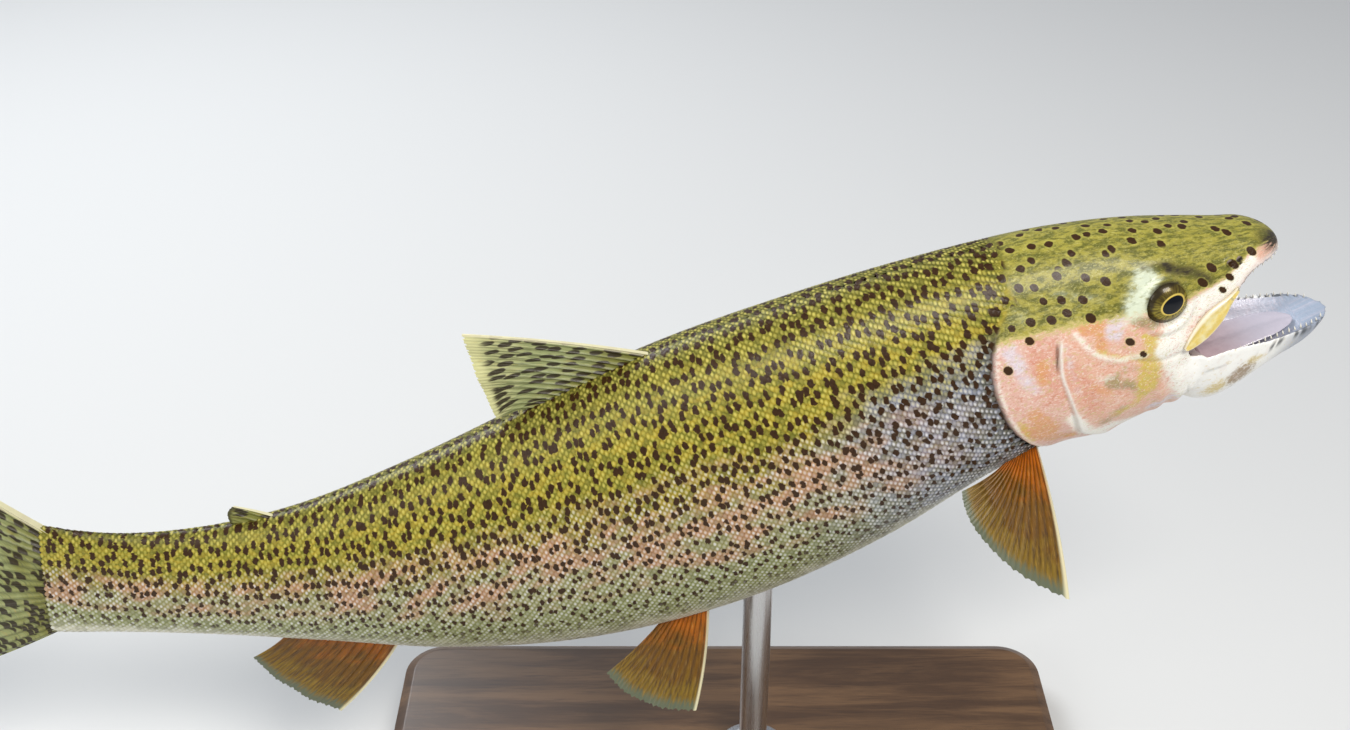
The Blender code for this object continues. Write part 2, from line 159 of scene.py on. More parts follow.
def along_spine(x):
    """Spine point and its three directions at x, also before the snout."""
    grid = SPINE[0]
    inside = np.clip(x, 0, grid[-1])
    point, ahead, left, up = (np.stack([np.interp(inside, grid, t[:, k]) for k in range(3)], -1)
                              for t in SPINE[1:])
    return point + (inside - x)[..., None] * ahead, ahead, left, up


def place(p):
    """World points, in metres, of fish points (x, y, z)."""
    p = np.asarray(p, float)
    point, _, left, up = along_spine(p[..., 0])
    return (point + left * p[..., 1:2] + up * p[..., 2:3]) * MM + np.array(SNOUT)


def fish_points(world):
    """Fish points of world points: the reverse of place()."""
    w = (np.asarray(world, float) - np.array(SNOUT)) / MM
    x = -w @ SPINE[2][0]
    for _ in range(12):
        point, ahead, left, up = along_spine(x)
        x = np.clip(x - ((w - point) * ahead).sum(-1), -20, 630)
    point, ahead, left, up = along_spine(x)
    off = w - point
    return np.stack([x, (off * left).sum(-1), (off * up).sum(-1)], -1)


# ---- cross-sections ----
def snout_round(x):
    """How far the round snout has opened out: 0 at its tip, 1 from NOSE on."""
    return np.sqrt(1 - (1 - np.clip(x / NOSE, 0, 1)) ** 2)


def girth(x, turn, grow=0.0):
    """Half-width and height of the skin at x and a turn."""
    round_off = snout_round(x)
    middle = MIDDLE(x)
    sine, cosine = np.sin(np.radians(turn)), np.cos(np.radians(turn))
    high = (BACK(x) - middle) * round_off + grow
    low = (middle - BELLY(x)) * round_off + grow
    fullness = np.where(sine > 0, 1.0 - 0.12 * smooth(1 - x / 140), 0.9)
    half = (WIDTH(x) * round_off + grow) * np.abs(cosine) ** fullness
    return half, middle + np.where(sine > 0, high, low) * sine


def lip_turn(x):
    """The turn at which the section passes the lip line."""
    low = (MIDDLE(x) - BELLY(x)) * np.maximum(snout_round(x), 0.05)
    return np.degrees(np.arcsin(np.clip((LIP(x) - MIDDLE(x)) / low, -0.95, -0.1)))


def upper_lip(x):
    """The turn of the upper jaw's edge, which arches up between the snout and the side plates."""
    up = LIP(x) + ARCH(x) - MIDDLE(x)
    reach = np.where(up > 0, BACK(x) - MIDDLE(x), MIDDLE(x) - BELLY(x)) * np.maximum(snout_round(x), 0.05)
    return np.degrees(np.arcsin(np.clip(up / reach, -0.95, 0.5)))


def swing(p, share):
    """Turn fish points down about the jaw joint by a share of the gape."""
    angle = GAPE * share
    x, z = p[..., 0] - HINGE[0], p[..., 2] - HINGE[1]
    turned = p.copy()
    turned[..., 0] = HINGE[0] + x * np.cos(angle) - z * np.sin(angle)
    turned[..., 2] = HINGE[1] + x * np.sin(angle) + z * np.cos(angle)
    return turned


def throat_share(x, turn):
    """How far the skin behind the mouth follows the jaw."""
    return (1 - smooth((x - MOUTH_END) / 46)) * smooth((lip_turn(x) - turn) / 20)


def on_skin(side, x, turn, grow=0.0):
    """Fish points on the flank; side is -1 on the right and 1 on the left."""
    x, turn, side = np.broadcast_arrays(np.asarray(x, float), turn, side)
    half, height = girth(x, turn, grow)
    share = np.where(x > MOUTH_END, throat_share(x, turn), 0.0)
    return swing(np.stack([x, side * half, height], -1), share)


def turn_of(p):
    """The turn at which fish points sit on the section, whatever their distance from it."""
    middle = MIDDLE(p[..., 0])
    up = p[..., 2] - middle
    reach = np.where(up > 0, BACK(p[..., 0]) - middle, middle - BELLY(p[..., 0]))
    return np.degrees(np.arctan2(up / reach, np.abs(p[..., 1]) / WIDTH(p[..., 0])))


def cheek_edge(turn):
    """x of the preopercle's free edge, a pale line across the cheek."""
    return 94 - 6 * smooth((turn - 5) / 28) - 9 * smooth((-36 - turn) / 26)


def cover_rear(turn):
    """x of the gill cover's rear edge."""
    return 117.5 - 20 * np.abs((turn - 5) / np.where(turn > 5, 44, 74)) ** 2.1


def gill_edges(x, turn):
    """How far points lie in front of the gill cover's rear edge, and behind the preopercle's."""
    return cover_rear(np.clip(turn, -70, 49)) - x, x - cheek_edge(turn)


def along_jaw(t):
    """x along the closed lower jaw, from its tip at t = 0 to the back of the mouth at 1."""
    return -JAW_REACH + t * (MOUTH_END + JAW_REACH - 0.3)


# ---- making meshes ----
def linked(name, data):
    """A new object in the scene."""
    obj = bpy.data.objects.new(name, data)
    bpy.context.scene.collection.objects.link(obj)
    return obj


def new_piece(name, points, faces):
    """A mesh object from fish points."""
    mesh = bpy.data.meshes.new(name)
    mesh.from_pydata([tuple(p) for p in place(points)], [], faces)
    return linked(name, mesh)


def tidy_normals(obj):
    """Merge doubled points and turn the faces outwards."""
    bm = bmesh.new()
    bm.from_mesh(obj.data)
    bmesh.ops.remove_doubles(bm, verts=bm.verts, dist=1e-6)
    bmesh.ops.recalc_face_normals(bm, faces=bm.faces)
    bm.to_mesh(obj.data)
    bm.free()


def loft_faces(rows, around):
    """Faces of a closed tube through rings of points, with a cap on both ends."""
    faces = []
    for row in range(rows - 1):
        for k in range(around):
            n = (k + 1) % around
            a, b = row * around, (row + 1) * around
            faces.append((a + k, a + n, b + n, b + k))
    faces.append(tuple(range(around))[::-1])
    faces.append(tuple(range((rows - 1) * around, rows * around)))
    return faces


def loft(name, rings):
    rings = np.array(rings)
    obj = new_piece(name, rings.reshape(-1, 3), loft_faces(len(rings), len(rings[0])))
    tidy_normals(obj)
    return obj


def sheet(name, upper, lower):
    """A closed plate between two grids of fish points."""
    rows, cols = upper.shape[:2]
    index = np.arange(rows * cols).reshape(rows, cols)
    a, b, c, d = index[:-1, :-1], index[:-1, 1:], index[1:, 1:], index[1:, :-1]
    front = np.stack([a, b, c, d], -1).reshape(-1, 4)
    back = front[:, ::-1] + rows * cols
    rim = np.concatenate([index[0], index[1:, -1], index[-1, -2::-1], index[-2:0:-1, 0]])
    after = np.roll(rim, -1)
    side = np.stack([after, rim, rim + rows * cols, after + rows * cols], -1)
    faces = [tuple(f) for f in np.concatenate([front, back, side]).tolist()]
    obj = new_piece(name, np.concatenate([upper.reshape(-1, 3), lower.reshape(-1, 3)]), faces)
    tidy_normals(obj)
    return obj


def only(obj):
    bpy.ops.object.select_all(action="DESELECT")
    obj.select_set(True)
    bpy.context.view_layer.objects.active = obj


def apply_modifier(obj, kind, **values):
    only(obj)
    step = obj.modifiers.new(kind.lower(), kind)
    for key, value in values.items():
        setattr(step, key, value)
    bpy.ops.object.modifier_apply(modifier=step.name)


def read_vectors(items, name):
    flat = np.empty(len(items) * 3, np.float32)
    items.foreach_get(name, flat)
    return flat.reshape(-1, 3).astype(float)


def coords(obj):
    return read_vectors(obj.data.vertices, "co")


def normals(obj):
    return read_vectors(obj.data.vertex_normals, "vector")


def set_coords(obj, points):
    obj.data.vertices.foreach_set("co", points.astype(np.float32).ravel())
    obj.data.update()


def vector_field(obj, name, *numbers, sides=1):
    """Store three numbers for each point of a piece, on one or both sides of a sheet."""
    layer = obj.data.attributes.new(name, "FLOAT_VECTOR", "POINT")
    values = np.tile(np.stack(np.broadcast_arrays(*numbers), -1).reshape(-1, 3), (sides, 1))
    layer.data.foreach_set("vector", values.astype(np.float32).ravel())


def finish_piece(obj, material, sharp=None):
    """Smooth shading, sharp past an angle in degrees, then the material and the body."""
    obj.data.shade_smooth()
    if sharp:
        obj.data.set_sharp_from_angle(angle=math.radians(sharp))
    obj.data.materials.append(material)
    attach(obj, "root")


# ---- skin ----
def jaw_wall(t):
    """How thick the lower jaw's lip is."""
    return 2.5 + 1.0 * t


def lip_wall(x):
    """How thick the upper jaw's edge is."""
    return 1.5 + 1.5 * min(x / 40, 1)


def both_flanks(x, half, height):
    """Fish points along the right flank to the middle line and back along the left."""
    right = np.stack([np.full(len(half), x), -half, height], 1)
    return np.concatenate([right, (right * (1, -1, 1))[-2::-1]])


def head_ring(x, mouth, depth=0.0):
    """Lip to lip over the head, then back along the palate (mouth) or, behind it, round the throat."""
    lip = float(upper_lip(x) if mouth else lip_turn(x))
    half, height = girth(x, np.linspace(lip, 90, 45))
    side = np.linspace(1, -1, 43)[1:-1]
    if mouth:
        inside = max(half[0] - lip_wall(x), half[0] * 0.4)
        arch = 0.42 * (BACK(x) - height[0]) * smooth(x / 30)
        dome = np.sqrt(np.clip(1 - side ** 2, 0, 1))
        roof = height[0] + arch * dome
        if depth:
            inside *= 0.8
            roof = roof * 0.75 + height[0] * 0.25 - 3
        below = np.stack([x + depth * dome, side * inside, roof], 1)
    else:
        turns = lip - (90 + lip) * (1 - np.abs(side))
        wide, low = girth(x, turns)
        below = np.stack([np.full(len(side), x), wide * np.sign(side), low], 1)
        below = swing(below, throat_share(x, turns))
    return np.concatenate([both_flanks(x, half, height), below])


def jaw_station(t):
    """The station of the closed mouth whose half-width and height the jaw has at t."""
    return min(max(t * MOUTH_END, 0.6), MOUTH_END)


def jaw_ring(t):
    """The open lower jaw at t: a trough with raised lips."""
    at, x = jaw_station(t), along_jaw(t)
    half, height = girth(at, np.linspace(float(lip_turn(at)), -90, 31))
    half = half * JAW_WIDTH
    drop, chin = height[0] - height[-1], math.sin(math.pi * min(t, 1) ** 1.3)
    deeper = 1 + CHIN_DEPTH * chin + TIP_DEPTH * math.exp(-(t / 0.18) ** 2)
    height = height[0] + (height - height[0]) * deeper
    share = (height - height[-1]) / (height[0] - height[-1])
    height = height + 4.2 * smooth((t - 0.42) / 0.5) * share ** 2
    side = np.linspace(1, -1, 41)[1:-1]
    inside = max(half[0] - jaw_wall(t), half[0] * 0.5)
    depth = drop * (1 + 0.3 * chin) * (0.22 + 0.3 * smooth(t / 0.4))
    if t > 1:
        depth *= 0.2
    floor = height[0] - depth * (1 - side ** 4) ** 0.5
    trough = np.stack([np.full(len(side), x), side * inside, floor], 1)
    return swing(np.concatenate([both_flanks(x, half, height), trough]), 1.0)


def ellipsoid(centre, size, rings, spokes):
    """A grid of fish points round a globe, whose poles face sideways."""
    deep = np.linspace(0, math.pi, rings + 1)[1:-1, None]
    around = np.linspace(0, 2 * math.pi, spokes, endpoint=False)
    return np.stack([centre[0] + size[0] * np.sin(deep) * np.cos(around),
                     centre[1] + size[1] * np.cos(deep) + 0 * around,
                     centre[2] + size[2] * np.sin(deep) * np.sin(around)], -1)


def raw_body():
    """Head, throat, trunk and tail as one closed loft with the mouth's pocket, and the jaw pushed into it."""
    tip_steps = 1 - np.cos(np.linspace(0.08, math.pi / 2, 9))
    rings = [head_ring(x, True) for x in NOSE * tip_steps]
    rings += [head_ring(x, True) for x in np.linspace(NOSE, MOUTH_END, 16)[1:]]
    rings.append(head_ring(MOUTH_END + 0.1, True, 13))
    rings += [head_ring(x, False) for x in np.arange(MOUTH_END + 0.3, BODY_LENGTH, 3.0)]
    for k, x in enumerate(np.linspace(BODY_LENGTH, BODY_LENGTH + 3.5, 5)):
        ring = head_ring(BODY_LENGTH, False)
        ring[:, 0] = x
        ring[:, 1] *= math.sqrt(1 - (k / 4.6) ** 2)
        rings.append(ring)
    body = loft("trout_skin", rings)
    steps = np.concatenate([0.16 * tip_steps, np.linspace(0.16, 1.12, 24)[1:]])
    jaw = loft("jaw_start", [jaw_ring(t) for t in steps])
    x, y, z = EYE_AT
    for side in (-1, 1):
        socket = loft("socket", ellipsoid((x, side * (y + 3.6), z), (7.7, 7.0, 7.5), 24, 40))
        apply_modifier(body, "BOOLEAN", operation="DIFFERENCE", solver="EXACT", object=socket)
        bpy.data.objects.remove(socket, do_unlink=True)
    only(body)
    jaw.select_set(True)
    bpy.ops.object.join()
    return body


def relax(obj, rounds):
    """Even out the steps that the remesh leaves."""
    bm = bmesh.new()
    bm.from_mesh(obj.data)
    for _ in range(rounds):
        bmesh.ops.smooth_vert(bm, verts=bm.verts, factor=0.5, use_axis_x=True, use_axis_y=True,
                              use_axis_z=True)
    bm.to_mesh(obj.data)
    bm.free()


def scale_start(turn):
    """x at which the scales begin behind the head."""
    behind_cover = cover_rear(np.clip(turn, -68, CROWN_TURN)) + 1.2
    return np.where(turn > CROWN_TURN, 99 - 3 * smooth((turn - CROWN_TURN) / 40),
                    np.where(turn < THROAT_TURN, BELLY_SCALES_START, behind_cover))


# ---- distances round the section ----
X_STEP, TURN_STEP, LONGEST_ARC = 3.0, 1.5, 175.0
GIRTH_X = np.arange(0.0, PATTERN_END + 2, X_STEP)
GIRTH_TURN = np.arange(90.0, -90.0 - TURN_STEP / 2, -TURN_STEP)


def girth_table():
    """Distance round the section from the back's middle line, one row for each x."""
    x, turn = np.meshgrid(GIRTH_X, GIRTH_TURN, indexing="ij")
    half, height = girth(x, turn)
    step = np.hypot(np.diff(half, axis=1), np.diff(height, axis=1))
    return np.concatenate([np.zeros((len(GIRTH_X), 1)), np.cumsum(step, axis=1)], 1)


ARC = girth_table()
TURN_AT = np.array([np.interp(np.arange(LONGEST_ARC), row, GIRTH_TURN) for row in ARC])


def grid_read(table, row, column):
    """Read a table between its rows and columns."""
    row = np.clip(row, 0, table.shape[0] - 1.001)
    column = np.clip(column, 0, table.shape[1] - 1.001)
    r, c = row.astype(int), column.astype(int)
    fr, fc = row - r, column - c
    top = table[r, c] * (1 - fc) + table[r, c + 1] * fc
    low = table[r + 1, c] * (1 - fc) + table[r + 1, c + 1] * fc
    return top * (1 - fr) + low * fr


def arc_at(x, turn):
    """Millimetres round the section from the back's middle line to a turn."""
    return grid_read(ARC, np.asarray(x) / X_STEP, (90 - np.asarray(turn)) / TURN_STEP)


def turn_at(x, arc):
    return grid_read(TURN_AT, np.asarray(x) / X_STEP, np.asarray(arc))


def stroke(x, turn, width, *points):
    """A soft brush stroke through points given as x and turn; the width is in millimetres."""
    arc = arc_at(x, turn)
    xs, turns = np.array(points, float).T
    arcs = arc_at(xs, turns)
    best = np.hypot(x - xs[0], arc - arcs[0])
    for k in range(len(points) - 1):
        dx, da = xs[k + 1] - xs[k], arcs[k + 1] - arcs[k]
        t = np.clip(((x - xs[k]) * dx + (arc - arcs[k]) * da) / (dx * dx + da * da), 0, 1)
        best = np.minimum(best, np.hypot(x - xs[k] - t * dx, arc - arcs[k] - t * da))
    return ridge(best, width)


def soft_patch(x, turn, at, reach):
    """A soft round patch on the flank."""
    return ridge(x - at[0], reach[0]) * ridge(turn - at[1], reach[1])


def outer_side(p, beyond=7):
    """1 on the head's outside, 0 inside the mouth and near the middle line."""
    return (np.abs(p[:, 1]) > beyond).astype(float)


CHEEK_CURVE = ((83, 24), (81, 16), (78, 10), (71, 3), (63, -1))    # a pale fold under the eye


def head_relief(p, turn):
    """Raised and sunken forms of the head, in millimetres along the normal, over fish points."""
    x, z = p[:, 0], p[:, 2]
    side_face = between(turn, -72, 8, 42, 14)
    rear, front = gill_edges(x, turn)
    # gill cover: a plate with a free rear edge over a groove
    plate = smooth(rear) * smooth((x - 60) / 25)
    move = (1.25 * plate - 1.5 * ridge(rear + 1.0, 1.1)) * side_face
    # preopercle: its own free edge, in front of a fine groove
    lower = between(turn, -66, 8, 30, 12)
    move += (0.6 * smooth((front + 8) / 7) * smooth(-front / 0.8) - 0.75 * ridge(front - 0.6, 0.8)) * lower
    # seam between the opercle and the subopercle, and fine swelling of the plate
    seam = turn + 38 + (x - 94) * 0.5
    move -= 0.5 * ridge(seam, 1.8) * smooth(front / 3) * smooth(rear / 3)
    move += 0.5 * soft_patch(x, turn, (105, -2), (8, 22))
    # cheek bones in a ring round the lower half of the eye
    eye = np.hypot(x - EYE_AT[0], z - EYE_AT[2])
    outer = outer_side(p, 12)
    move += (0.75 * ridge(eye - 9.2, 1.3) - 0.35 * ridge(eye - 12.2, 1.3)) * outer
    ring = between(turn, -30, 10, 24, 14) * (x > EYE_AT[0] - 8) * outer
    move += (0.45 * ridge(eye - 16.5, 3.2) - 0.45 * ridge(eye - 22.0, 1.1)) * ring
    move += 0.40 * stroke(x, turn, 1.9, *CHEEK_CURVE)
    move += 0.45 * stroke(x, turn, 2.2, (77, -7), (71, -13), (66, -24)) * outer
    # brow: the skull stands out over the eye
    move += 1.0 * soft_patch(x, turn, (46, 47), (12, 9))
    # folds between the corner of the mouth and the throat
    fold = between(x, 46, 5, 70, 10) * between(turn, -72, 8, -24, 10)
    move += 0.5 * fold * np.sin((x - 46) * 0.75 + turn * 0.09)
    # branchiostegal rays fan under the gill cover
    fan = between(x, 62, 12, 112, 14) * between(turn, -90, 3, -60, 8)
    move += 0.5 * fan * np.sin(x * 0.42 + (turn + 90) * 0.55)
    # nostrils: two pits with a flap between them
    for pit_x, pit_z in NOSTRILS:
        r = np.hypot((x - pit_x) / 1.25, (z - pit_z) / 1.05)
        pit = np.clip(1 - (r / 1.25) ** 2, 0, 1) ** 2
        move += (0.35 * ridge(r - 1.7, 0.5) - 2.0 * pit) * outer_side(p)
    return move


def make_skin():
    body = raw_body()
    apply_modifier(body, "REMESH", mode="VOXEL", voxel_size=SKIN_VOXEL * MM, adaptivity=0.0)
    relax(body, 5)
    trunk = body.vertex_groups.new(name="trunk")
    far = np.nonzero(fish_points(coords(body))[:, 0] > TRUNK_START)[0]
    trunk.add(far.tolist(), 1.0, "REPLACE")
    apply_modifier(body, "DECIMATE", decimate_type="COLLAPSE", ratio=TRUNK_SHARE, vertex_group="trunk",
                   vertex_group_factor=1.0)
    p = fish_points(coords(body))
    turn = turn_of(p)
    in_jaw = (p[:, 0] < MOUTH_END + 4) & (p[:, 2] < LIP(p[:, 0]) - 2.0)
    move = np.where(in_jaw, 0.0, head_relief(p, turn))
    move -= COAT_DEPTH * smooth((p[:, 0] - scale_start(turn) + 0.5) / np.where(turn > 44, 6.0, 2.5))
    set_coords(body, coords(body) + normals(body) * move[:, None] * MM)
    return body


# ---- where the markings lie ----
def lateral_turn(x):
    """The lateral line comes down from the top of the gill cover and runs along the middle of the flank."""
    return 2 + 24 * np.exp(-(x - 112) / 48)


def lay_of(x, turn, side):
    """Pattern coordinates: along the body, round it from the back's middle line, and the turn."""
    return x / 100, side * arc_at(x, turn) / 100, turn / 90


def spot_floor(x):
    """The head's olive reaches down to this turn."""
    stations = [0, 12, 17, 21, 26, 44, 52, 60, 75, 90, 110]
    return np.interp(x, stations, [40, 33, 27, 22, 17, 17, 19, 22, 27, 29, 31])


# round spots on the sides of the head: x, turn and radius
FRECKLES = ((99, 28, 1.7), (103, 36, 1.5), (96, 36, 1.9), (89, 34, 1.9), (83, 35, 1.8), (76, 29, 2.0),
            (83, 42, 1.7), (76, 39, 1.8), (99, 49, 1.7), (89, 44, 1.5), (95, 54, 1.8), (100, 60, 1.7),
            (110, 19, 1.8), (66, 10, 1.8), (63, 0, 1.4), (66, 45, 1.9), (90, 52, 1.6), (28, 8, 1.5),
            (24, 16, 1.6), (21, 27, 1.9), (106, 46, 1.7), (34, 23, 1.9), (29, 32, 1.9), (72, 50, 1.7),
            (13, 33, 1.8), (81, 55, 1.8))
FRECKLE_TOP = 57.0                      # above this turn the head's spots follow the pattern of cells
# the head's tints as soft strokes: strength, width, and points as x and turn
STROKES = {
    "ochre": ((1.4, 4.6, (58, -2), (61, -10), (65, -20)), (0.8, 2.2, (57, 3), (60, 8)),
              (0.8, 2.0, (78, 12), (71, 4), (64, -2)), (0.7, 2.4, (113, -8), (112, -26)),
              (0.6, 2.4, (46, 3), (49, 4)), (0.5, 1.6, (38, 12), (42, 11)),
              (0.8, 2.4, (66, -24), (72, -30), (80, -30))),
    "olive": ((1.0, 3.2, (77, -7), (71, -13), (68, -18)), (0.8, 3.0, (76, -28), (84, -34)),
              (0.5, 2.4, (66, -7), (71, -3), (78, -4)), (1.4, 2.6, (55, 13), (61, 18))),
    "coral": ((1.0, 4.5, (88, 8), (86, -6), (86, -16)), (0.9, 5, (96, 20), (97, 4))),
    "orange": ((1.2, 3.4, (74, 25), (80, 25)), (1.1, 2.6, (75, 17), (77, 14)),
               (1.1, 4, (107, -7), (103, -22)), (1.2, 3.2, (112, -16), (104, -34), (97, -40)),
               (1.0, 3, (98, 16), (100, 10)), (1.3, 1.4, (55, 5), (57, 5)), (0.8, 3, (83, -5), (80, -10))),
    "bone": ((1.0, 2.4, (14, 24), (17, 20), (21, 14), (25, 9), (31, 8), (44, 8), (51, 1), (56, -6)),
             (0.9, 8.0, (50, -18), (49, -45)), (1.0, 4.0, (94, -22), (91, -39), (86, -52)),
             (0.9, 4.2, (82, -42), (72, -58)), (0.70, 1.9, *CHEEK_CURVE), (0.5, 2.2, (76, -2), (81, -3))),
    "lilac": ((1.2, 3.4, (71, 17), (67, 24)), (0.9, 4.0, (107, 26), (106, 20)),
              (0.9, 3.4, (104, 8), (106, 12)), (0.5, 4, (22, 2), (34, -2)),
              (0.9, 3.0, (53, -50), (58, -46), (66, -46)), (0.5, 2.4, (88, 20), (90, 0))),
    # painted highlights behind the eye and on the upper head
    "painted_glint": ((1.0, 4.4, (52, 40), (55, 34), (59, 27)), (0.5, 3.0, (61, 24), (65, 20)),
              (0.3, 2.6, (70, 36), (84, 46))),
    # painted shadow in front of the eye and painted shade over the brow
    "painted_shade_and_dark_tip": ((0.7, 3.2, (42, 40), (36, 34), (32, 24)), (0.5, 2.0, (45, 44), (52, 46))),
}


def jaw_marks(p, mouth):
    """Dashes, the brown patch and the golden patches of the lower jaw, and x along the closed jaw."""
    closed = swing(p, -1.0)
    x = closed[:, 0]
    under_lip = LIP(np.clip(x * 0.87 + 6, 0, MOUTH_END)) - closed[:, 2]
    dashes = ridge(under_lip - 1.8 - 3.5 * smooth((x - 12) / 12), 2.2) * smooth((27 - x) / 8) * (1 - mouth)
    dashes *= smooth(np.sin(x * 1.35 + np.sin(x * 0.7) * 2) * 1.2 + 0.75)
    dashes += 0.35 * ridge(under_lip - 4.5, 0.7) * between(x, 35, 4, 46, 2)
    stain = 1.2 * ridge(x - 28, 6) * ridge(under_lip - 14, 6.5)
    gilded = ridge(x - 36, 5.5) * ridge(under_lip - 18, 6)
    gilded += 0.8 * ridge(x - 25, 5) * ridge(under_lip - 8, 3.5)
    return dashes, stain, gilded, x / 100


def paint_fields(obj, p, mouth):
    """Store the fields that the head's colours are read from, three numbers in each."""
    x, y, z = p.T
    turn = turn_of(p)
    lip_height = LIP(x)
    tint = {name: sum(strength * stroke(x, turn, width, *points) for strength, width, *points in rows)
            for name, rows in STROKES.items()}
    jaw = smooth((MOUTH_END + 9 - x) / 9) * smooth((lip_height - 1.5 - z) / 3.0)
    face = smooth((scale_start(turn) - x) / 2)
    rear, front = gill_edges(x, turn)
    side_face = between(turn, -70, 8, 40, 12)
    cover = smooth(rear / 0.8 + 0.5) * smooth(front / 1.5 + 0.5) * side_face
    white = ridge(front + 0.9, 0.6 + 1.5 * smooth((-8 - turn) / 35))
    white *= between(turn, -64, 8, 25, 4)
    # painted shade in the groove under the gill cover's rear edge and in a slit at the top of the
    # preopercle's edge
    groove = ridge(rear + 1.0, 0.9) * side_face
    slit_shade = ridge(front - 0.5, 0.6) * between(turn, 8, 6, 24, 4)
    coral = tint["coral"] + 0.55 * cover
    bone = tint["bone"] + 0.62 * smooth((64 - x) / 16) * smooth((22 - turn) / 12)
    bone += 0.6 * ridge(rear - 1.6, 1.5) * side_face
    # painted highlights behind the eye, on the upper head and on the nape
    painted_glint = tint["painted_glint"] + 0.35 * soft_patch(x, turn, (99, 40), (5, 6))
    # painted shadow in front of the eye and painted shade over the brow from the strokes, a darker snout tip,
    # then painted shade round the top of the eye's socket and in the nostril pits
    painted_shade_and_dark_tip = tint["painted_shade_and_dark_tip"] + 1.1 * soft_patch(x, turn, (1, 38), (8, 34))
    eye = np.hypot(x - EYE_AT[0], z - EYE_AT[2])
    painted_shade_and_dark_tip += 0.8 * ridge(eye - 8.2, 1.5) * smooth((turn - 14) / 22) * outer_side(p)
    for pit_x, pit_z in NOSTRILS:
        painted_shade_and_dark_tip += 1.6 * np.exp(-(np.hypot(x - pit_x, z - pit_z) / 1.3) ** 4) * outer_side(p)
    freckle = np.zeros(len(x))
    for at_x, at_turn, radius in FRECKLES:
        away = np.hypot((x - at_x) * 1.1, arc_at(x, turn) - arc_at(at_x, at_turn))
        freckle = np.maximum(freckle, smooth((radius * 1.25 - away) / (radius * 0.5)))
    lip = ridge(z - lip_height - ARCH(x) - 1.2, 1.6) * smooth((34 - x) / 8)
    spotted = smooth((turn - spot_floor(x) + 4) / 10)
    dashes, stain, gilded, jaw_at = jaw_marks(p, mouth)
    fields = {"masks": (cover, face, mouth), "lines": (white, np.maximum(groove, slit_shade), jaw),
              "patches": (tint["ochre"], bone, painted_shade_and_dark_tip), "tints": (painted_glint, lip, spotted),
              "blush": (coral, tint["lilac"], tint["olive"]),
              "spots": (tint["orange"], freckle, smooth((turn - FRECKLE_TOP) / 3)),
              "jaw_marks": (dashes, stain, jaw_at), "jaw_gold": (gilded, gilded, gilded)}
    vector_field(obj, "lay", *lay_of(np.clip(x, 0, PATTERN_END), turn, np.where(y < 0, -1.0, 1.0)))
    for name, numbers in fields.items():
        vector_field(obj, name, *(np.clip(number, -1, 1) for number in numbers))


def inside_mouth(obj, p):
    """1 where the skin faces into the mouth: the palate looks down and the jaw's floor looks up."""
    n = normals(obj)
    _, _, left, up = along_spine(p[:, 0])
    facing = (n * up).sum(1)
    inner = (n * left).sum(1) * np.sign(p[:, 1]) < -0.3
    x, y, z = p.T
    lip = LIP(x)
    front = x < MOUTH_END + 16
    within = np.abs(y) < np.interp(x, [-8, 0, 20, 60], [7, 11, 17, 23])
    palate = (facing < -0.15) & (z > lip - 1.5) & (z < lip + 22) & within
    floor = (facing > 0.1) & (z < lip - 3) & within
    wall = (x > MOUTH_END - 8) & (z < lip + 8) & (np.abs(y) < 17) & (z > -34)
    cheeks = (x > MOUTH_END - 22) & inner & (z < lip + 6) & within
    return (front & (palate | floor | wall | cheeks)).astype(float)


# ---- scales ----
# one scale: along the body in pitches, across it in its own width, and height in millimetres
SCALE_POINTS = np.array([(-0.55, -0.30, -0.42), (-0.55, 0.30, -0.42), (0.00, -0.56, -0.24),
                         (0.00, 0.56, -0.24), (0.40, -0.46, -0.06), (0.40, 0.46, -0.06),
                         (0.66, -0.24, 0.07), (0.66, 0.24, 0.07), (0.75, 0.00, 0.10),
                         (0.00, 0.00, -0.14), (0.44, 0.00, 0.12)])
SCALE_TOP = [(0, 2, 9), (0, 9, 1), (1, 9, 3), (2, 4, 10, 9), (9, 10, 5, 3), (4, 6, 10), (6, 8, 10),
             (8, 7, 10), (7, 5, 10)]
SCALE_UNDER = [(0, 4, 2), (0, 6, 4), (0, 8, 6), (0, 7, 8), (0, 5, 7), (0, 3, 5), (0, 1, 3)]
SCALE_MIDDLE = (9, 10)                  # the points along a scale's own middle
SCALE_WIDTH = 2.3 * ROW_PITCH
PATCH = 0.003                           # size of one scale's patch on the bake map
BAKE_ROUND = 360                        # millimetres round the body that fill the bake map's height


def scale_roots(start, end):
    """x, arc and row of every scale's root between two places along the body."""
    first = math.floor((start - SCALES_FROM) / SCALE_PITCH)
    last = math.ceil((end - SCALES_FROM) / SCALE_PITCH)
    column, row = np.meshgrid(np.arange(first, last + 1), np.arange(-ROWS_EACH_WAY, ROWS_EACH_WAY + 1))
    x = SCALES_FROM + (column + 0.5 * (row % 2)) * SCALE_PITCH
    arc = arc_at(x, lateral_turn(x)) + row * ROW_PITCH
    turn = turn_at(x, arc)
    ragged = np.where(turn > 44, 2.6 * np.mod(row * 0.618, 1.0) - 1.0, 0.0)
    keep = (arc > 0.4) & (arc < arc_at(x, -90) - 0.4) & (x >= start) & (x < end)
    keep &= x > scale_start(turn) - 0.4 + ragged
    return x[keep], arc[keep], row[keep]


def belly_roots(start, end):
    """x, arc and row of one row of scales along the belly, over the meeting of the two sides' rows."""
    first = math.ceil(max(start, BELLY_SCALES_START) / SCALE_PITCH)
    x = np.arange(first, math.ceil(end / SCALE_PITCH)) * SCALE_PITCH
    return x, arc_at(x, -90), np.full(x.shape, BELLY_ROW)


